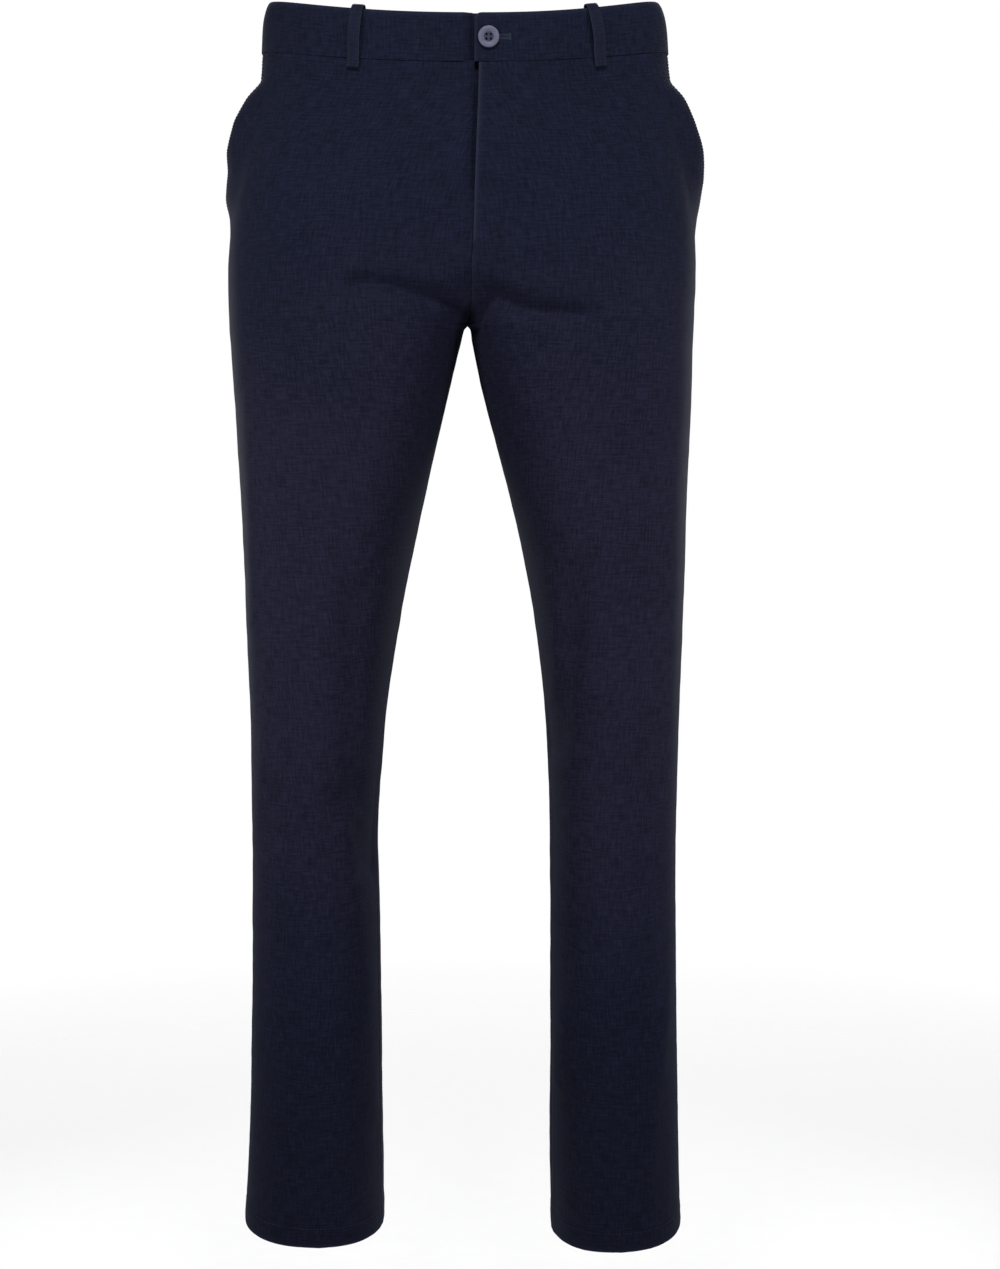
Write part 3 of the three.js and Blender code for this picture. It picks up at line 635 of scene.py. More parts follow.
def back_surface(side, z, distance):
    """Points on a back, as front_surface gives them for a front. At the centre back it presses into the
    other."""
    start, end = (part[:, None] for part in back_limits(side, z))
    x, y, nx, ny = SideLines(side, z).at(distance)
    z = z[:, None]
    pressed = ease((3 - end + distance) / 3) * ease((z - CROTCH) / 6)
    x = x - BACK_PRESS * pressed * SIGN[side]
    nx = nx * (1 - pressed)
    height = settle(x, y, z)
    fade = ease((end - distance) / 12) * ease((distance - start) / 20)
    inwards = drape("back", side, x, height) * fade
    inwards += seam_relief(distance - start, height, 5.2)
    inwards += crotch_share(z, ny) * seam_relief(end - distance, height, 2.1)
    inwards += top_relief(x, z, 7.7) + hem_relief(side, z, x)
    return x, y, nx, ny, inwards, height


# Panel grids: the columns closest to an edge, and how many cells there are
EDGE_COLUMNS = np.array([0, 0.35, 0.8, 1.4, 2.2, 3.4, 5.2, 7.6])
PANEL_CELLS = 66

# Panel rows: the steps down from the top edge, up from the hem, and the close rows at the crotch
TOP_ROWS = np.array([0, 0.4, 0.8, 1.2, 1.7, 2.3, 3.0])
HEM_ROWS = np.array([21.2, 20, 18.9, 18.2, 17.6, 17, 16.3, 15, 13, 11, 9, 7, 4, 2.6, 1.6, 0.9, 0.4, 0.1, 0])
CURVE_ROWS = 34
THIGH_ROWS = 18
THIGH_REACH = 46


def panel_levels(side):
    """The heights of a panel's rows: about 3 mm apart, closer at the top edge, along the crotch curve,
    where the seam runs flat, and at the hem."""
    top = BAND_BOTTOM - BAND_GAP
    return np.concatenate([
        top - TOP_ROWS,
        np.linspace(top - 4.5, FLY_BOTTOM, 60)[:-1],
        CROTCH + (FLY_BOTTOM - CROTCH) * (np.arange(CURVE_ROWS, 0, -1) / CURVE_ROWS) ** 2.4,
        CROTCH - THIGH_REACH * (np.arange(THIGH_ROWS) / THIGH_ROWS) ** 1.6,
        np.linspace(CROTCH - THIGH_REACH, HEM[side] + HEM_TURN + 3, 246),
        HEM[side] + HEM_ROWS,
    ])


def front_length(side, z):
    """How far it is from the pocket's mouth to the fly edge at heights z."""
    return SideLines(side, z).side_seam - mouth_setback(z)


def back_length(side, z):
    """How far it is from the side seam to the centre back at heights z."""
    lines = SideLines(side, z)
    return lines.round - lines.side_seam


def panel_columns(near_seam, other_seam, z, length_at):
    """Distances from the side seam to the other seam, closer together at both. The first two thirds keep
    their width along the crotch curve, where the seam runs to the middle in a few rows: length_at is the
    panel's own length at the fly's end and at the crotch."""
    reach = EDGE_COLUMNS[-1]
    share = ease((FLY_BOTTOM - z) / (FLY_BOTTOM - CROTCH))
    at_fly, at_crotch = length_at
    even = at_fly * (1 - share) + at_crotch * share
    length = np.where((z < FLY_BOTTOM) & (z > CROTCH), even, abs(other_seam - near_seam)) - 2 * reach
    way = np.sign(other_seam - near_seam)
    steady = PANEL_CELLS * 2 // 3
    kept = length[:, None] * np.arange(steady + 1) / PANEL_CELLS
    left = (abs(other_seam - near_seam) - 2 * reach - kept[:, -1])[:, None]
    rest = kept[:, -1:] + left * np.arange(1, PANEL_CELLS - steady + 1) / (PANEL_CELLS - steady)
    middle = reach + np.concatenate([kept, rest], 1)
    first = np.tile(EDGE_COLUMNS[:-1], (len(z), 1))
    last = abs(other_seam - near_seam)[:, None] - first[:, ::-1]
    return near_seam[:, None] + way[:, None] * np.concatenate([first, middle, last], 1)


def moved(x, y, nx, ny, inwards, height):
    """Points moved in along their level normals, as one array."""
    return np.stack([x - nx * inwards, y - ny * inwards, np.broadcast_to(height, x.shape)], -1)


def grid_quads(rows, columns, offset=0, closed=False):
    """The four corners of each cell of a grid of points, closed round its columns where asked."""
    index = np.arange(rows * columns).reshape(rows, columns) + offset
    ahead = np.roll(index, -1, 1)
    if not closed:
        index, ahead = index[:, :-1], ahead[:, :-1]
    return np.stack([index[:-1], ahead[:-1], ahead[1:], index[1:]], -1).reshape(-1, 4)


def wall_quads(rows, columns):
    """The faces of a closed wall: an outer grid, an inner one turned over and strips round their edges."""
    outer = np.arange(rows * columns).reshape(rows, columns)
    ring = np.concatenate([outer[0, :-1], outer[:-1, -1], outer[-1, :0:-1], outer[:0:-1, 0]])
    ahead = np.roll(ring, -1)
    inner = rows * columns
    strips = np.stack([ahead, ring, ring + inner, ahead + inner], -1)
    return np.concatenate([grid_quads(rows, columns), grid_quads(rows, columns, inner)[:, ::-1], strips])


def wall(x, y, nx, ny, inwards, thick, height):
    """A closed wall of a thickness: the points of its outer and inner grids, and its faces."""
    outer = moved(x, y, nx, ny, inwards, height)
    inner = moved(x, y, nx, ny, inwards + thick, height)
    return np.concatenate([outer.reshape(-1, 3), inner.reshape(-1, 3)]), wall_quads(*x.shape)


def cut_map(across, z):
    """A wall's flat map: each point's place across and down its cut, for the outer and the inner grid."""
    flat = np.stack([across, np.broadcast_to(z[:, None], across.shape)], -1).reshape(-1, 2)
    return np.tile(flat, (2, 1))


def level_ways(a, b):
    """Level ways or normals with parts a and b, from grids of one column."""
    return np.stack([a, b, 0 * a], -1)[:, 0]


def outward(points, faces):
    """The faces, turned over where the closed mesh they make is inside out."""
    a, b, c = (points[faces[:, i]] for i in range(3))
    inside = np.einsum("ij,ij->i", a, np.cross(b, c)).sum()
    if faces.shape[1] == 4:
        inside += np.einsum("ij,ij->i", a, np.cross(c, points[faces[:, 3]])).sum()
    return faces if inside > 0 else faces[:, ::-1]


def new_object(name, data):
    """An object linked into the scene."""
    made = bpy.data.objects.new(name, data)
    bpy.context.scene.collection.objects.link(made)
    return made


def add_piece(name, points, faces, material, uv=None, wear_painted_highlight_and_dish=None, smooth=True):
    """A mesh object of points in millimetres and faces of three or four corners, riding on the body."""
    mesh = bpy.data.meshes.new(name)
    faces = outward(points, faces)
    corners = faces.shape[1]
    mesh.vertices.add(len(points))
    mesh.vertices.foreach_set("co", (points * MM).astype(np.float32).ravel())
    mesh.loops.add(faces.size)
    mesh.loops.foreach_set("vertex_index", faces.astype(np.int32).ravel())
    mesh.polygons.add(len(faces))
    mesh.polygons.foreach_set("loop_start", np.arange(0, faces.size, corners, dtype=np.int32))
    mesh.polygons.foreach_set("use_smooth", np.full(len(faces), smooth))
    mesh.update(calc_edges=True)
    if uv is not None:
        layer = mesh.uv_layers.new(name="cut")
        layer.data.foreach_set("uv", (uv * MM)[faces.ravel()].astype(np.float32).ravel())
    if wear_painted_highlight_and_dish is not None:
        # Paler cloth: wear, and painted highlight on the fly edge and the belt loops
        painted_highlight_and_wear_layer = mesh.attributes.new("wear_painted_highlight_and_dish", "FLOAT", "POINT")
        painted_highlight_and_wear_layer.data.foreach_set("value", wear_painted_highlight_and_dish.astype(np.float32).ravel())
    mesh.validate()
    mesh.materials.append(material)
    piece = new_object(name, mesh)
    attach(piece, "root")
    return piece


def add_panel(name, side, z, distance, surface, edges):
    """A front or back as a closed wall, doubled where the hem is turned up."""
    x, y, nx, ny, inwards, height = surface(side, z, distance)
    up = z - HEM[side]
    thick = CLOTH * (1 + ease((HEM_TURN + 1 - up) / 2)) - HEM_THIN * hem_rounding(up)
    points, faces = wall(x, y, nx, ny, inwards, thick[:, None], height)
    across = distance - SideLines(side, z).side_seam[:, None]
    wear_painted_highlight_and_dish = np.tile(edges(side, z, distance).reshape(-1), 2)
    return add_piece(name, points, faces, cloth, uv=cut_map(across, z), wear_painted_highlight_and_dish=wear_painted_highlight_and_dish)


def front_wear_and_painted_highlight(side, z, distance):
    """How pale a front is painted at its edges: most at the fly edge, where it is partly wear and partly
    painted highlight, then the centre seam below it, the mouth's edge and the hem, which are worn.
    """
    start, end, _ = (part[:, None] for part in front_limits(side, z))
    z = z[:, None]
    mouth = np.exp(-(end - distance) / 1.6) * ease((z - MOUTH_BOTTOM) / 8)
    edge = ease((z - FLY_BOTTOM) / 8) + 0.7 * ease((FLY_BOTTOM - z) / 8) * ease((z - CROTCH) / 12)
    # Painted highlight along the fly edge, partly wear: the pale line where the folded edge catches the
    # light
    fly = 1.6 * np.exp(-abs(distance - start) / 1.3) * edge * (side == "left")
    return np.clip(mouth + fly + 0.7 * np.exp(-(z - HEM[side]) / 1.5), 0, 1)


def back_wear(side, z, distance):
    """How worn a back is: at the hem's edge."""
    return 0.7 * np.exp(-(z[:, None] - HEM[side]) / 1.5) + 0 * distance


def feed(socket, value):
    """Links a shader value into a socket, or sets the socket to a plain one."""
    if isinstance(value, Shade):
        value.tree.links.new(value.socket, socket)
    else:
        socket.default_value = value


class Shade:
    """A shader value. Its operators add Math nodes, and make adds any other node of the same material."""

    def __init__(self, tree, socket=None):
        self.tree, self.socket = tree, socket

    def make(self, kind, settings=None, inputs=None, out=0):
        """A node of a kind, its settings first, then the values or links of its sockets."""
        node = self.tree.nodes.new(kind)
        for key, value in (settings or {}).items():
            setattr(node, key, value)
        for key, value in (inputs or {}).items():
            feed(node.inputs[key], value)
        return Shade(self.tree, node.outputs[out])

    def math(self, operation, *values):
        """A Math node of an operation on values."""
        return self.make("ShaderNodeMath", {"operation": operation}, dict(enumerate(values)))

    def __add__(self, other):
        return self.math("ADD", self, other)

    __radd__ = __add__

    def __sub__(self, other):
        return self.math("SUBTRACT", self, other)

    def __rsub__(self, other):
        return self.math("SUBTRACT", other, self)

    def __mul__(self, other):
        return self.math("MULTIPLY", self, other)

    __rmul__ = __mul__

    def __truediv__(self, other):
        return self.math("DIVIDE", self, other)

    def __pow__(self, other):
        return self.math("POWER", self, other)

    def clamp(self):
        """The value kept between 0 and 1."""
        return self.math("MAXIMUM", self.math("MINIMUM", self, 1.0), 0.0)

    def noise(self, vector, scale, detail=2.0, roughness=0.5):
        """Uneven noise about 0.5 at a scale."""
        inputs = {"Vector": vector, "Scale": scale, "Detail": detail, "Roughness": roughness}
        return self.make("ShaderNodeTexNoise", {"noise_dimensions": "3D"}, inputs)

    def stretched(self, vector, scale):
        """A place scaled by its own amount along each axis."""
        return self.make("ShaderNodeMapping", {}, {"Vector": vector, "Scale": scale})

    def mix(self, factor, a, b):
        """Colours a and b mixed."""
        a, b = (part if isinstance(part, Shade) else (*part, 1) for part in (a, b))
        return self.make("ShaderNodeMix", {"data_type": "RGBA"}, {0: factor, 6: a, 7: b}, out=2)


def new_material(name):
    """A material with a bare Principled surface: the maker for its nodes, the surface and the material."""
    material = bpy.data.materials.new(name)
    material.use_nodes = True
    return Shade(material.node_tree), material.node_tree.nodes["Principled BSDF"], material


def finish_surface(maker, surface, colour, roughness, height, depth):
    """Gives a surface its colour, its roughness and a bump of a depth in metres."""
    bump = maker.make("ShaderNodeBump", {}, {"Height": height, "Strength": 1.0, "Distance": depth})
    for name, value in (("Base Color", colour), ("Roughness", roughness), ("Normal", bump)):
        feed(surface.inputs[name], value)


def twill_material():
    """Navy cotton twill on the pieces' own flat map: a fine diagonal, uneven warp and weft threads, slub
    specks, slow fading, painted shade that darkens the cloth towards the hems, and paler edges: worn at the
    mouths, hems and band, and partly worn, partly painted highlight along the fly edge and over the belt
    loops."""
    maker, surface, material = new_material("navy_twill")
    uv = maker.make("ShaderNodeUVMap", {"uv_map": "cut"})
    place = maker.make("ShaderNodeTexCoord", out=3)
    warp = maker.noise(maker.stretched(uv, (620, 70, 1)), 1.0, 2.0, 0.6)
    weft = maker.noise(maker.stretched(uv, (70, 620, 1)), 1.0, 2.0, 0.6)
    fine = maker.noise(maker.stretched(uv, (1500, 1500, 1)), 1.0, 1.0)
    slub = ((maker.noise(maker.stretched(uv, (420, 150, 1)), 1.0, 0.0) - 0.70) * 9.0).clamp()
    cloudy = maker.noise(place, 9.0, 3.0, 0.55)
    diagonal = maker.make(
        "ShaderNodeTexWave", {"wave_type": "BANDS", "bands_direction": "DIAGONAL"},
        {"Vector": maker.stretched(uv, (1, 1, 1)), "Scale": 190.0, "Distortion": 1.2, "Detail": 1.0},
    )
    threads = (warp - 0.5) * 0.75 + (weft - 0.5) * 0.75 + (fine - 0.5) * 0.5
    tone = (threads * 2.4 + (cloudy - 0.5) * 0.5 + slub * 0.5 + 0.42).clamp()
    height = maker.make("ShaderNodeSeparateXYZ", {}, {0: place}, out=2)
    from_knees = (height + 0.50) * 3.2
    # Painted shade: from a little below the knees down to the hems the cloth is darkened by up to 16 %, in
    # place of the light falling off down the legs
    low = ((height + 0.72) * -4.0).clamp()
    warmth = (1.15 - from_knees * from_knees + (cloudy - 0.5) * 1.2).clamp() * 0.9
    hue = maker.mix(warmth, NAVY, WARM_NAVY)
    tone_and_painted_hem_shade = (tone * 0.88 + 0.62) * (1.0 - low * 0.16)
    cloth_with_painted_hem_shade = maker.make("ShaderNodeVectorMath", {"operation": "SCALE"}, {0: hue, 3: tone_and_painted_hem_shade})
    wear_painted_highlight_and_dish = maker.make("ShaderNodeAttribute", {"attribute_name": "wear_painted_highlight_and_dish"}, out=2)
    # Paler where worn, and painted highlight where the mask lifts the fly edge and the belt loops
    colour = maker.mix(wear_painted_highlight_and_dish * 0.7, cloth_with_painted_hem_shade, WORN_AND_PAINTED_HIGHLIGHT)
    relief = threads * 0.8 + diagonal * 0.25 + slub * 0.4
    finish_surface(maker, surface, colour, 0.80 + tone * 0.12, relief, 0.00012)
    for name, value in SHEEN.items():
        feed(surface.inputs[name], value)
    return material


def thread_material(name, colour):
    """Sewing thread: its twist as fine bumps along it."""
    maker, surface, material = new_material(name)
    place = maker.make("ShaderNodeTexCoord", out=3)
    twist = maker.noise(place, 2600.0, 1.0)
    pale = tuple(1.35 * part for part in colour)
    dark = tuple(0.7 * part for part in colour)
    finish_surface(maker, surface, maker.mix(twist, dark, pale), 0.75, twist, 0.00008)
    surface.inputs["Specular IOR Level"].default_value = 0.3
    return material


def button_material():
    """Satin grey-mauve resin with a faint swirl and a darker dish."""
    maker, surface, material = new_material("button_resin")
    place = maker.make("ShaderNodeTexCoord", out=3)
    swirl = maker.noise(place, 260.0, 4.0, 0.6)
    fine = maker.noise(place, 2400.0, 1.0)
    rim = maker.mix(swirl, RIM_DARK, RIM_PALE)
    dish = maker.make("ShaderNodeAttribute", {"attribute_name": "wear_painted_highlight_and_dish"}, out=2)
    colour = maker.mix(dish, rim, DISH)
    finish_surface(maker, surface, colour, 0.42 + fine * 0.15, fine, 0.00003)
    return material


def zip_material():
    """Dark woven tape: ribs along it."""
    maker, surface, material = new_material("zip_tape")
    place = maker.make("ShaderNodeTexCoord", out=3)
    ribs = maker.noise(maker.stretched(place, (1800, 1800, 260)), 1.0, 1.0)
    finish_surface(maker, surface, maker.mix(ribs, TAPE_DARK, TAPE_PALE), 0.85, ribs, 0.0001)
    return material


def floor_material():
    """Pale matt floor with a very fine grain, which fades out towards its rim."""
    maker, surface, material = new_material("pale_floor")
    place = maker.make("ShaderNodeTexCoord", out=3)
    grain = maker.noise(place, 40.0, 3.0)
    finish_surface(maker, surface, maker.mix(grain, FLOOR_DARK, FLOOR_PALE), 0.9, grain, 0.0002)
    surface.inputs["Specular IOR Level"].default_value = 0.1
    length = maker.make("ShaderNodeVectorMath", {"operation": "LENGTH"}, {0: place}, out=1)
    from_rim = (((length * length - FLOOR_LEVEL**2) ** 0.5) - FLOOR_FADE) / (FLOOR_RADIUS - FLOOR_FADE)
    feed(surface.inputs["Alpha"], (1 - from_rim).clamp())
    return material


def set_camera():
    """The camera at the photograph's place and angle."""
    data = bpy.data.cameras.new("camera")
    data.lens = CAMERA_LENS
    camera = new_object("camera", data)
    camera.location = CAMERA_PLACE
    camera.rotation_euler = (math.radians(90 - CAMERA_PITCH), 0, 0)
    bpy.context.scene.camera = camera


def add_light(name, place, target, size, power):
    """A soft rectangular light that faces a target."""
    data = bpy.data.lights.new(name, "AREA")
    data.shape = "RECTANGLE"
    data.size, data.size_y = size
    data.energy = power
    light = new_object(name, data)
    light.location = place
    way = np.array(target) - np.array(place)
    light.rotation_euler = (
        math.acos(-way[2] / np.linalg.norm(way)), 0, math.atan2(way[1], way[0]) - math.pi / 2,
    )


# Soft lights in metres and watts: the name, the place, what each faces, its size and its power
LIGHTS = [
    ("key_light", (0, -1.35, 1.30), (0, 0, -0.15), (1.0, 0.4), 26),
    ("hip_light_right", (-0.50, -0.55, -0.12), (-0.10, 0, -0.14), (0.2, 0.3), 0.95),
    ("hip_light_left", (0.50, -0.55, -0.12), (0.10, 0, -0.14), (0.2, 0.3), 0.85),
    ("knee_light_right", (-0.46, -0.50, -0.56), (-0.12, 0, -0.56), (0.2, 0.3), 1.2),
    ("knee_light_left", (0.46, -0.50, -0.56), (0.12, 0, -0.56), (0.2, 0.3), 1.1),
    ("rim_light_right", (-1.5, 0.30, -0.30), (-0.15, 0, -0.45), (0.4, 0.9), 5),
    ("rim_light_left", (1.5, 0.30, -0.30), (0.15, 0, -0.45), (0.4, 0.9), 5.5),
    ("back_light_top", (0, 1.40, 1.30), (0, 0, -0.15), (1.0, 0.4), 14),
    ("floor_light", (0, 1.60, 0.40), (0, 1.30, -1.35), (1.8, 1.2), 24),
    ("back_light_right", (-0.70, 0.85, -0.40), (0, 0, -0.45), (0.25, 0.6), 3.2),
    ("back_light_left", (0.70, 0.85, -0.40), (0, 0, -0.45), (0.25, 0.6), 3.2),
]


def set_world():
    """A white surround: bright where the camera sees it, dimmer as a light."""
    world = bpy.data.worlds.new("studio")
    world.use_nodes = True
    bpy.context.scene.world = world
    maker = Shade(world.node_tree)
    background = world.node_tree.nodes["Background"]
    seen = maker.make("ShaderNodeLightPath")
    feed(background.inputs["Strength"], seen * 0.98 + 0.02)
    background.inputs["Color"].default_value = (1, 1, 1, 1)


def disc(radius, height, rings, spokes):
    """A flat disc: rings of points round a middle one, as points and faces of three corners."""
    turn = np.linspace(0, 2 * math.pi, spokes, endpoint=False)
    out = np.linspace(radius / rings, radius, rings)[:, None]
    ring_points = np.stack([out * np.cos(turn), out * np.sin(turn), 0 * out * turn + height], -1)
    points = np.concatenate([[[0, 0, height]], ring_points.reshape(-1, 3)])
    quads = grid_quads(rings, spokes, 1, closed=True)
    fan = np.stack([np.zeros(spokes, int), 1 + np.arange(spokes), 1 + np.roll(np.arange(spokes), -1)], -1)
    return points, np.concatenate([fan, quads[:, [0, 3, 2]], quads[:, [0, 2, 1]]])


def add_floor():
    """The pale floor, which isn't part of the trousers."""
    points, faces = disc(FLOOR_RADIUS, FLOOR_LEVEL, 4, 96)
    mesh = bpy.data.meshes.new("floor")
    mesh.from_pydata(points.tolist(), [], faces.tolist())
    mesh.materials.append(floor_material())
    floor = new_object("floor", mesh)


def quarter(x, y, radius, start, steps):
    """Points of a quarter circle round (x, y), clockwise from an angle off the top."""
    turn = start + np.linspace(0, math.pi / 2, steps)
    return np.stack([x + radius * np.sin(turn), y + radius * np.cos(turn)], -1)


def rounded_profile(wide, thick, radius, steps, bulge=0, between=13):
    """A flat strap's section, once round: across -wide/2 to wide/2 on the outer face, then back on the
    inner one, with round edges. Columns are across and outwards from the middle."""
    ax, ay = wide / 2 - radius, thick / 2 - radius
    span = np.linspace(-1, 1, between + 2)[1:-1]
    outer = np.stack([span * ax, thick / 2 + bulge * (1 - span**2)], -1)
    inner = np.stack([-span * ax, np.full(between, -thick / 2)], -1)
    corners = ((ax, ay), (ax, -ay), (-ax, -ay), (-ax, ay))
    arcs = [quarter(x, y, radius, i * math.pi / 2, steps) for i, (x, y) in enumerate(corners)]
    return np.concatenate([outer, arcs[0], arcs[1], inner, arcs[2], arcs[3]])


def tube_faces(rings, around):
    """The faces of a closed tube with flat ends, all of three corners."""
    quads = grid_quads(rings, around, closed=True)
    sides = np.concatenate([quads[:, [0, 1, 2]], quads[:, [0, 2, 3]]])
    fan = np.stack([np.zeros(around - 2, int), np.arange(2, around), np.arange(1, around - 1)], -1)
    return np.concatenate([sides, fan, (fan + (rings - 1) * around)[:, ::-1]])


def band_surface(side, z, distance):
    """Points on the waistband's middle surface: the side's line, the right end dipping under the left."""
    x, y, nx, ny = side_at(side, z, distance)
    flat = BAND_OVERLAP + FLY_FLAT
    far = BAND_OVERLAP + FLY_EASE
    under = BAND_LAP * ease((far - distance) / (far - flat)) + BAND_SINK * ease((far - 3 - distance) / 5)
    under = under if side == "right" else 0 * distance
    return x, y, nx, ny, under - BAND_PROUD, settle(x, y, z[:, None])


def add_band(side):
    """Half of the waistband: a strap's section with round edges carried along the waist, its end's top
    corner rounded, a little fuller above and below its middle and puckered beside its lower seam."""
    start = -BAND_OVERLAP if side == "left" else -BAND_UNDERLAP
    end = SideLines(side, [0]).round[0] - GAP / 2
    near = start + np.array([0, 0.4, 1, 1.9, 3.1, 4.5, 6])
    columns = np.concatenate([near, np.arange(start + 8, end - 3, 2.6), end - np.array([1.5, 0.6, 0])])
    tall = BAND_TOP - BAND_BOTTOM
    profile = rounded_profile(tall, BAND_THICK, BAND_EDGE, 5)
    lip = ease((profile[:, 1] - 0.5) / 0.6) * ease(-(profile[:, 0] + 17) / 3)
    share = profile[:, 0] / tall + 0.5
    from_start = columns - start
    from_round = np.clip(BAND_ROUND - from_start, 0, BAND_ROUND)
    corner = BAND_ROUND - np.sqrt(BAND_ROUND**2 - from_round**2)
    z = BAND_BOTTOM + share[:, None] * (tall - BAND_ROUNDING * corner) - BAND_LIP * lip[:, None]
    reach = (SideLines(side, z[:, 0]).round - SEAM / 2 - start) / (end - start)
    distance = start + from_start * reach[:, None]
    x, y, nx, ny, inwards, height = band_surface(side, z[:, 0], distance)
    height = height + (z - z[:, :1])
    out = profile[:, 1:] - BAND_THICK / 2
    swell = np.sin(math.pi * share[:, None])
    waves = BAND_WAVE * uneven(columns, 31, 2.2) * swell
    puckers = BAND_PUCKER * uneven(columns, 11, 5.1) * np.exp(-(z - BAND_BOTTOM) / 7)
    rolled = BAND_ROLL * np.exp(-from_start / 0.8) * (side == "left")
    relief = (profile[:, 1:] > 0) * (waves + puckers + BAND_FULL * swell**0.7 - rolled)
    points = moved(x, y, nx, ny, inwards - out - relief, height)
    points = points.transpose(1, 0, 2).reshape(-1, 3)
    flat = np.stack([distance.T, z.T], -1).reshape(-1, 2)
    edge = np.exp(-(1 - share) * tall / 1.2)[:, None] + np.exp(-from_start / 0.9) * (side == "left")
    wear_painted_highlight_and_dish = np.clip(edge, 0, 1).T.reshape(-1) * 0.8
    faces = tube_faces(len(columns), len(profile))
    piece = add_piece("waistband_shell_" + side, points, faces, cloth, uv=flat, wear_painted_highlight_and_dish=wear_painted_highlight_and_dish)
    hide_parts("waistband_" + side)
    return piece


def smooth_path(places, count):
    """Evenly spaced points on a smooth curve through places, a cubic whose slope at each place is that
    between its neighbours, with the unit ways along it."""
    places = np.array(places, float)
    chord = np.concatenate([[0], np.cumsum(np.linalg.norm(np.diff(places, axis=0), axis=1))])
    slope = np.gradient(places, chord, axis=0)
    s = np.linspace(0, chord[-1], 40 * len(places))
    low = np.clip(np.searchsorted(chord, s), 1, len(chord) - 1)
    span = (chord[low] - chord[low - 1])[:, None]
    curve = cubic((s - chord[low - 1])[:, None] / span, span, places, slope, low)
    way = np.concatenate([[0], np.cumsum(np.linalg.norm(np.diff(curve, axis=0), axis=1))])
    even = np.linspace(0, way[-1], count)
    points = np.stack([np.interp(even, way, curve[:, i]) for i in range(curve.shape[1])], -1)
    ways = np.gradient(points, axis=0)
    return points, ways / np.linalg.norm(ways, axis=1, keepdims=True), way[-1]


LOOP_PATH = [
    (BAND_TOP - 8, LOOP_INSIDE),
    (BAND_TOP - 0.5, LOOP_INSIDE),
    (BAND_TOP + LOOP_FLAT + LOOP_EASE, LOOP_INSIDE + 1.5),
    (BAND_TOP + LOOP_FLAT + LOOP_EASE, -0.6),
    (BAND_TOP - 1, LOOP_FLAT + 1),
    (BAND_TOP - 6, LOOP_FLAT + 1.9),
    (6, LOOP_FLAT + LOOP_SAG),
    (-6, LOOP_FLAT + LOOP_SAG),
    (BAND_BOTTOM + 4, LOOP_FLAT + 0.7),
    (BAND_BOTTOM - 1, LOOP_FLAT),
    (BAND_BOTTOM - 9, LOOP_FLAT - 0.3),
]


def loop_place(loop, z, across):
    """The point that a loop's edge follows at each height, with its normal and its settled height."""
    slide = loop["lean"] * (BAND_TOP - z) / (BAND_TOP - BAND_BOTTOM)
    if loop["side"] is None:
        left = SideLines("left", z)
        right = SideLines("right", z)
        mine = left.at(left.round[:, None] - np.abs(across))
        theirs = right.at(right.round[:, None] - np.abs(across))
        x, y, nx, ny = (np.where(across < 0, a, b) for a, b in zip(mine, theirs))
    else:
        lines = SideLines(loop["side"], z)
        middle = loop["from_fly"] + slide if "from_fly" in loop else lines.round - loop["from_back"]
        x, y, nx, ny = lines.at(middle[:, None] + across)
    return x, y, nx, ny, settle(x, y, z[:, None])


def loop_lift(loop, across):
    """How far a front loop stands off the band at a place across it."""
    return LOOP_LIFT * (0.5 - across / LOOP_WIDE) * ("from_fly" in loop)


def add_loop(loop):
    """A belt loop: a strap's section carried along its path. Returns a row of stitches for each edge."""
    path, ways, length = smooth_path(LOOP_PATH, LOOP_STEPS)
    profile = rounded_profile(LOOP_WIDE, LOOP_THICK, LOOP_EDGE, 4, LOOP_BULGE)
    from_row = abs(profile[:, 0]) - LOOP_WIDE / 2 + LOOP_STITCH_INSET
    groove = LOOP_GROOVE * bell(from_row, 0.5) * (profile[:, 1] > 0)
    across = np.broadcast_to(profile[:, 0], (len(path), len(profile)))
    away = (profile[:, 1] - groove)[None, :]
    x, y, nx, ny, base = loop_place(loop, path[:, 0], across)
    out = path[:, 1:] + loop_lift(loop, across) + BAND_PROUD - away * ways[:, :1]
    points = moved(x, y, nx, ny, -out, base + away * ways[:, 1:]).reshape(-1, 3)
    down = np.linspace(0, length, len(path))
    flat = np.stack([across + 500, down[:, None] + 0 * across], -1).reshape(-1, 2)
    # Painted highlight: the whole loop is paler because it stands proud and catches the light; its edges are
    # paler again where worn
    wear_painted_highlight_and_dish = (0.16 + 0.6 * np.exp(-(LOOP_WIDE / 2 - abs(across)) / 0.5)).reshape(-1)
    faces = tube_faces(*across.shape)
    piece = add_piece(loop["name"] + "_shell", points, faces, cloth, uv=flat, wear_painted_highlight_and_dish=wear_painted_highlight_and_dish)
    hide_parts(loop["name"])
    even = np.arange(13, length - 1, LOOP_PITCH)
    z, lift, back, up = (np.interp(even, down, part)[:, None] for part in (*path.T, *ways.T))
    surface = LOOP_THICK / 2 + 0.06
    rows = []
    for edge in (-1, 1):
        offset = edge * (LOOP_WIDE / 2 - LOOP_STITCH_INSET)
        x, y, nx, ny, base = loop_place(loop, z[:, 0], offset + 0 * z)
        out = lift + loop_lift(loop, offset) + BAND_PROUD - surface * back
        spot = moved(x, y, nx, ny, -out, base + surface * up)[:, 0]
        normal = np.stack([-back * nx, -back * ny, up], -1)[:, 0]
        rows.append((spot, np.gradient(spot, axis=0), normal))
    return rows


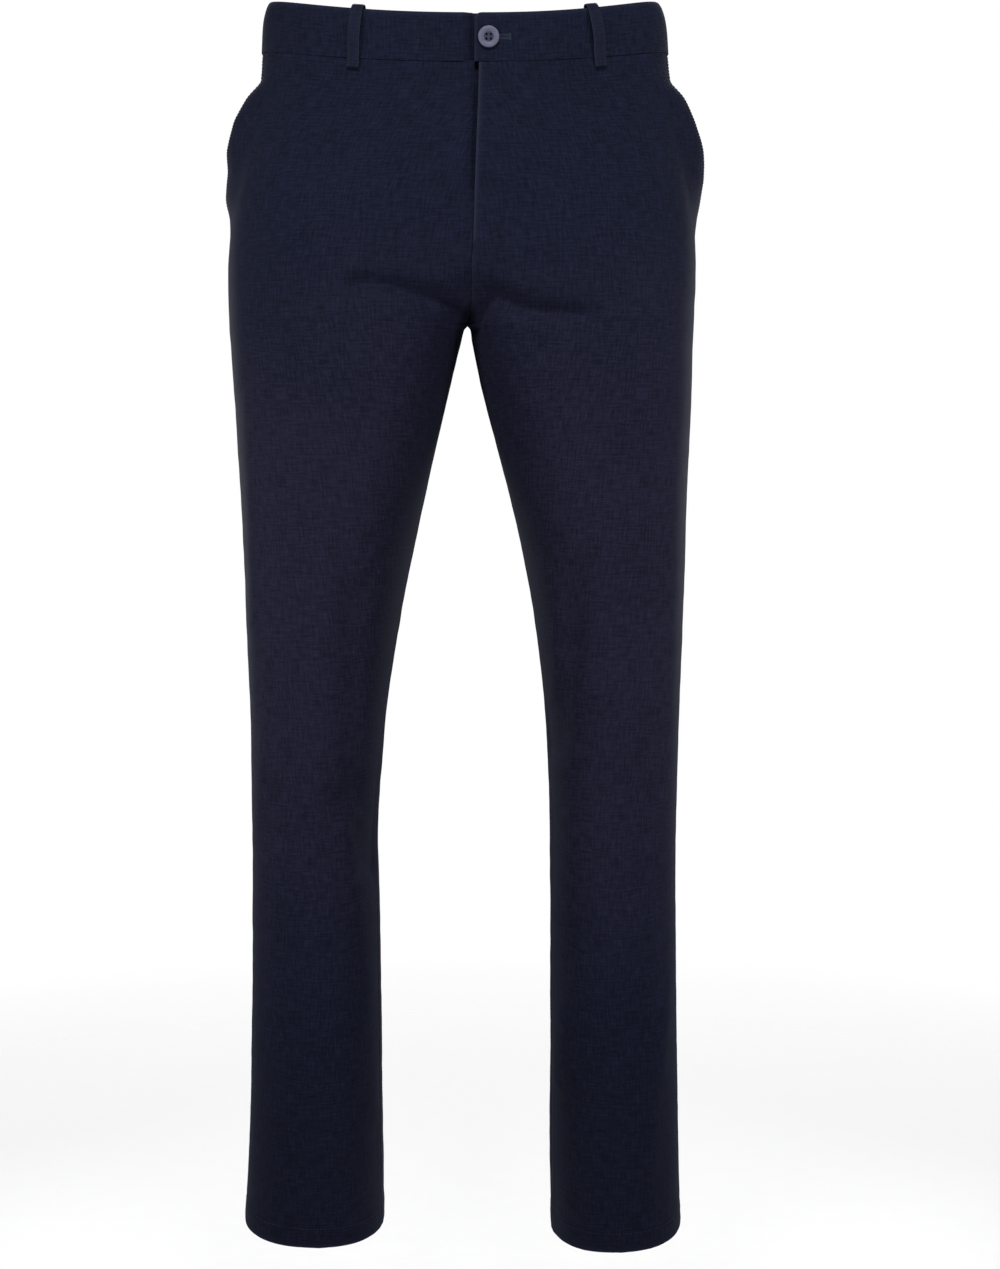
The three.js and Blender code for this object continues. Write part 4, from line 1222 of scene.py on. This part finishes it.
def stitch_mesh(rows, long, wide):
    """Stitches at points, each a small round-ended bead stretched along its way: a point, three rings of
    four and a point. Rows hold points, ways and normals."""
    spot, way, normal = (np.concatenate([row[i] for row in rows]) for i in range(3))
    way = way / np.linalg.norm(way, axis=1, keepdims=True)
    normal = normal - way * np.einsum("ij,ij->i", way, normal)[:, None]
    normal /= np.linalg.norm(normal, axis=1, keepdims=True)
    beside = np.cross(way, normal)
    rings = [(-0.5, 0, 0, -0.10)]
    for place, size, lift in ((-0.36, 0.85, 0.02), (0, 1, 0.08), (0.36, 0.85, 0.02)):
        rings += [(place, size * c, size * s, lift) for c, s in ((1, 0), (0, 1), (-1, 0), (0, -0.6))]
    rings.append((0.5, 0, 0, -0.10))
    shape = np.array(rings)
    points = (
        spot[:, None] + way[:, None] * (shape[:, :1] * long) + beside[:, None] * (shape[:, 1:2] * wide / 2)
        + normal[:, None] * (shape[:, 2:3] * wide / 2 + shape[:, 3:] * wide)
    )
    around = np.arange(4)
    ahead = (around + 1) % 4
    first = np.stack([0 * around, 1 + ahead, 1 + around], -1)
    last = np.stack([0 * around + 13, 9 + around, 9 + ahead], -1)
    bands = []
    for ring in (1, 5):
        bands.append(np.stack([ring + around, ring + ahead, ring + 4 + ahead], -1))
        bands.append(np.stack([ring + around, ring + 4 + ahead, ring + 4 + around], -1))
    one = np.concatenate([first, last, *bands])
    faces = one[None] + 14 * np.arange(len(spot))[:, None, None]
    return points.reshape(-1, 3), faces.reshape(-1, 3)


def sewn(surface, side, z, distance, lift):
    """Places for stitches at heights and distances on a surface, a little proud of it, with the normals."""
    x, y, nx, ny, inwards, height = surface(side, z, distance[:, None])
    return moved(x, y, nx, ny, inwards - lift, height)[:, 0], level_ways(nx, ny)


def stitch_row(surface, side, path, pitch, lift=0.1):
    """Points, ways and normals every pitch along a path of (distance, level) on a panel's surface."""
    path = np.array(path, float)
    steps = np.hypot(*np.diff(path, axis=0).T)
    way = np.concatenate([[0], np.cumsum(steps)])
    at = np.arange(pitch / 2, way[-1], pitch)
    distance, z = (np.interp(at, way, path[:, i]) for i in range(2))
    spots, normals = sewn(surface, side, z, distance, lift)
    return spots, np.gradient(spots, axis=0), normals


def sewing():
    """All the rows of stitching on the panels, the hems and the fly."""
    rows = [stitch_row(front_surface, "left", FLY_STITCH, STITCH_PITCH)]
    for side in ("left", "right"):
        z = np.linspace(MOUTH_TOP - 2, MOUTH_BOTTOM + 2, 60)
        mouth = front_limits(side, z)[1]
        for inset in MOUTH_STITCHES:
            rows.append(stitch_row(front_surface, side, np.stack([mouth - inset, z], -1), STITCH_PITCH))
        up = HEM[side] + HEM_STITCH
        for surface, limits in ((front_surface, front_limits), (back_surface, back_limits)):
            start, end = (part[0] for part in limits(side, np.array([up]))[:2])
            rows.append(stitch_row(surface, side, [(start + 1, up), (end - 1, up)], HEM_PITCH))
    return rows


def band_face(side, z, distance):
    """Points on the waistband's outer face."""
    x, y, nx, ny, inwards, height = band_surface(side, z, distance)
    return x, y, nx, ny, inwards - 0.25, height


def buttonhole():
    """The buttonhole's end: short upright stitches above and below its slit, and a bar of level ones."""
    rows = []
    at = np.arange(*BUTTONHOLE, BUTTONHOLE_PITCH)
    for step in (1, -1):
        spots, normals = sewn(band_face, "left", step * BUTTONHOLE_HALF + 0 * at, at, 0.12)
        rows.append((spots, np.tile([0.06 * step, 0.0, 1.0], (len(at), 1)), normals))
    z = np.linspace(-BAR_LONG / 2, BAR_LONG / 2, int(BAR_LONG / STITCH_WIDE))
    spots, normals = sewn(band_face, "left", z, BUTTONHOLE[1] + 0.1 + 0 * z, 0.15)
    rows.append((spots, np.cross([0, 0, 1], normals), normals))
    return rows


def add_stitches(name, rows, long, wide, material):
    """One piece of many stitches."""
    points, faces = stitch_mesh(rows, long, wide)
    return add_piece(name, points, faces, material)


def add_facing(side):
    """The cloth inside a pocket's mouth: a closed wall under the front's and the back's edges."""
    z = np.linspace(BAND_BOTTOM - BAND_GAP, FACING_BOTTOM, 58)
    lines = SideLines(side, z)
    start = lines.side_seam - mouth_setback(z) - FACING_UNDER_FRONT
    share = np.linspace(0, 1, 25)[None, :]
    distance = start[:, None] + (lines.side_seam + FACING_UNDER_BACK - start)[:, None] * share
    x, y, nx, ny = lines.at(distance)
    height = settle(x, y, z[:, None])
    waves = FACING_WAVE * uneven(z[:, None] + 0.5 * distance, 40, 8.1)
    points, faces = wall(x, y, nx, ny, FACING_DEPTH + waves, CLOTH, height)
    flat = cut_map(distance + 300, z)
    name = "pocket_facing_shell_" + side
    piece = add_piece(name, points, faces, cloth, uv=flat, wear_painted_highlight_and_dish=np.zeros(len(points)))
    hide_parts("pocket_facing_" + side)
    return piece


def boxes(centres, ways, sizes):
    """Many small boxes in one mesh, from their middles, their ways across, out and up, and three sizes."""
    corners = np.array([(a, b, c) for a in (-1, 1) for b in (-1, 1) for c in (-1, 1)], float) / 2 * sizes
    points = centres[:, None] + np.einsum("kc,nca->nka", corners, np.stack(ways, 1))
    one = np.array([(0, 1, 3, 2), (4, 6, 7, 5), (0, 4, 5, 1), (2, 3, 7, 6), (0, 2, 6, 4), (1, 5, 7, 3)])
    faces = one[None] + 8 * np.arange(len(centres))[:, None, None]
    return points.reshape(-1, 3), faces.reshape(-1, 4)


def add_zip():
    """The closed zip behind the fly: a thin tape, teeth from each side in turn and its slider above."""
    start = FLY_UNDERLAP + GAP
    z = np.linspace(ZIP_TOP, ZIP_BOTTOM, 40)
    distance = start + np.linspace(0, ZIP_WIDE, 14)[None, :] + 0 * z[:, None]
    x, y, nx, ny = SideLines("left", z).at(distance)
    tape = wall(x, y, nx, ny, FLY_DEPTH + 0.1, ZIP_TAPE, settle(x, y, z[:, None]))
    teeth_z = np.arange(ZIP_TOP - 3, ZIP_BOTTOM + 4, -TOOTH_PITCH / 2)
    middle = start + (ZIP_WIDE - CHAIN_WIDE) / 3 + CHAIN_WIDE / 2
    aside = np.where(np.arange(len(teeth_z)) % 2 == 0, -TOOTH_ASIDE, TOOTH_ASIDE)
    x, y, nx, ny = SideLines("left", teeth_z).at((middle + aside)[:, None])
    spots = moved(x, y, nx, ny, FLY_DEPTH + ZIP_TAPE + 0.75, settle(x, y, teeth_z[:, None]))[:, 0]
    ways = [level_ways(-ny, nx), level_ways(nx, ny), np.tile([0.0, 0.0, 1.0], (len(spots), 1))]
    teeth = boxes(spots, ways, TOOTH_SIZE)
    slider = boxes(spots[:1] + [[0, 0, SLIDER_UP]], [way[:1] for way in ways], SLIDER_SIZE)
    parts = (tape, teeth, slider)
    points = np.concatenate([part for part, _ in parts])
    offsets = np.cumsum([0] + [len(part) for part, _ in parts[:-1]])
    faces = np.concatenate([outward(part, quads) + offset for (part, quads), offset in zip(parts, offsets)])
    piece = add_piece("fly_zip_shell", points, faces, zip_tape, smooth=False)
    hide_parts("fly_zip")
    return piece


def button_profile():
    """The button's turned section as radii and heights: its flat back, round edge, rim, dish and middle."""
    radius, thick, bare = BUTTON_WIDE / 2, BUTTON_THICK, 0.4
    turn = np.linspace(0, math.pi / 2, 7)
    slope = np.linspace(0, 1, 10)
    dish = radius - BUTTON_RIM
    lower = [radius - BUTTON_BACK_EDGE * (1 - np.sin(turn)), BUTTON_BACK_EDGE * (1 - np.cos(turn))]
    outer = [radius - BUTTON_EDGE * (1 - np.cos(turn)), thick - 1 + BUTTON_EDGE * np.sin(turn)]
    sloping = [dish - BUTTON_DISH_WIDE * slope, thick - 0.1 - ease(slope)]
    middle = [np.linspace(dish - BUTTON_DISH_WIDE - 0.2, bare, 8), np.full(8, thick - BUTTON_DISH_DEEP)]
    back = [[bare, radius / 2], [0, 0]]
    return np.concatenate([np.stack(part, -1) for part in (back, lower, outer, sloping, middle)])


def turned(profile, spokes, x=0, y=0):
    """A profile of radii and heights turned round an upright axis at (x, y), as points and faces."""
    angle = np.linspace(0, 2 * math.pi, spokes, endpoint=False)
    radius, height = profile[:, :1], profile[:, 1:] + 0 * angle
    points = np.stack([x + radius * np.cos(angle), y + radius * np.sin(angle), height], -1).reshape(-1, 3)
    return points, tube_faces(len(profile), spokes)


def bare_object(name, points, faces):
    """An object from points and faces as they are, to be cut or to cut with."""
    mesh = bpy.data.meshes.new(name)
    mesh.from_pydata(points.tolist(), [], outward(points, faces).tolist())
    return new_object(name, mesh)


def drilled_button():
    """The button's mesh, lying on its back: a turned blank with four holes cut through."""
    blank = bare_object("button_blank", *turned(button_profile(), BUTTON_SPOKES))
    hole = np.array([(HOLE_WIDE / 2, -1), (HOLE_WIDE / 2, BUTTON_THICK + 1)])
    places = ((1, 1), (1, -1), (-1, 1), (-1, -1))
    drills = [turned(hole, HOLE_SPOKES, x * HOLE_APART, y * HOLE_APART) for x, y in places]
    drill_faces = [faces + 2 * HOLE_SPOKES * count for count, (_, faces) in enumerate(drills)]
    drill_points = np.concatenate([points for points, _ in drills])
    cutter = bare_object("button_drill", drill_points, np.concatenate(drill_faces))
    cut = blank.modifiers.new("holes", "BOOLEAN")
    cut.operation, cut.solver, cut.object = "DIFFERENCE", "EXACT", cutter
    bpy.context.view_layer.update()
    drilled = bpy.data.meshes.new_from_object(blank.evaluated_get(bpy.context.evaluated_depsgraph_get()))
    bpy.data.objects.remove(blank)
    bpy.data.objects.remove(cutter)
    return drilled


def button_seat():
    """The middle of the button's back on the band, and the ways out from it, across and up."""
    x, y, nx, ny = (float(part[0, 0]) for part in SideLines("left", [0]).at(np.array([[BUTTON_FROM_FLY]])))
    seat = np.array([x, y, float(settle(np.array(x), np.array(y), np.array(0.0)))])
    normal, across, up = np.array([nx, ny, 0]), np.array([-ny, nx, 0]), np.array([0, 0, 1.0])
    return seat + normal * BUTTON_AWAY, normal, across, up


def add_button():
    """The four-hole button, set on the band, with its dish marked for the darker colour."""
    drilled = drilled_button()
    co = np.zeros(len(drilled.vertices) * 3)
    drilled.vertices.foreach_get("co", co)
    local = co.reshape(-1, 3)
    seat, normal, across, up = button_seat()
    placed = seat + local[:, :1] * across + local[:, 1:2] * up + local[:, 2:] * normal
    drilled.vertices.foreach_set("co", (placed * MM).astype(np.float32).ravel())
    out = np.hypot(local[:, 0], local[:, 1])
    dished = 1 - ease(out - DISH_RADIUS)
    drilled.attributes.new("wear_painted_highlight_and_dish", "FLOAT", "POINT").data.foreach_set("value", dished.astype(np.float32))
    drilled.polygons.foreach_set("use_smooth", np.full(len(drilled.polygons), True))
    drilled.set_sharp_from_angle(angle=math.radians(35))
    drilled.materials.append(button_material())
    piece = new_object("button_shell", drilled)
    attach(piece, "root")
    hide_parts("waist_button")
    return piece


def add_button_thread():
    """The button's thread: two strands side by side over each upright pair of holes."""
    seat, normal, across, up = button_seat()
    rows = []
    for side_step in (-1, 1):
        for shift in (-0.3, 0.3):
            middle = seat + across * (side_step * HOLE_APART + shift) + normal * (BUTTON_THICK - 1.3)
            rows.append((middle[None], up[None], normal[None]))
    return add_stitches("button_thread", rows, 4.6, 0.5, thread_material("button_thread", BUTTON_THREAD))


bpy.context.scene.view_settings.view_transform = "Standard"
set_camera()
set_world()
for light in LIGHTS:
    add_light(*light)
add_floor()

cloth = twill_material()
thread = thread_material("navy_thread", THREAD)
zip_tape = zip_material()

FLY_END_AND_CROTCH = np.array([FLY_BOTTOM, CROTCH])
for side in ("left", "right"):
    rows = panel_levels(side)
    first, last, _ = front_limits(side, rows)
    columns = panel_columns(last, first, rows, front_length(side, FLY_END_AND_CROTCH))
    front = add_panel("front_shell_" + side, side, rows, columns, front_surface, front_wear_and_painted_highlight)
    first, last = back_limits(side, rows)
    columns = panel_columns(first, last, rows, back_length(side, FLY_END_AND_CROTCH))
    back = add_panel("back_shell_" + side, side, rows, columns, back_surface, back_wear)
    for face, piece in (("front", front), ("back", back)):
        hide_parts(face + "_" + side)
    add_facing(side)
    add_band(side)

loop_rows = [row for loop in LOOPS for row in add_loop(loop)]
hole_thread = thread_material("buttonhole_thread", HOLE_THREAD)
add_stitches("loop_stitching", loop_rows, LOOP_STITCH_LONG, STITCH_WIDE, thread)
add_stitches("panel_stitching", sewing(), STITCH_LONG, STITCH_WIDE, thread)
add_stitches("buttonhole_stitching", buttonhole(), 2.6, 0.55, hole_thread)
add_button()
add_button_thread()
add_zip()
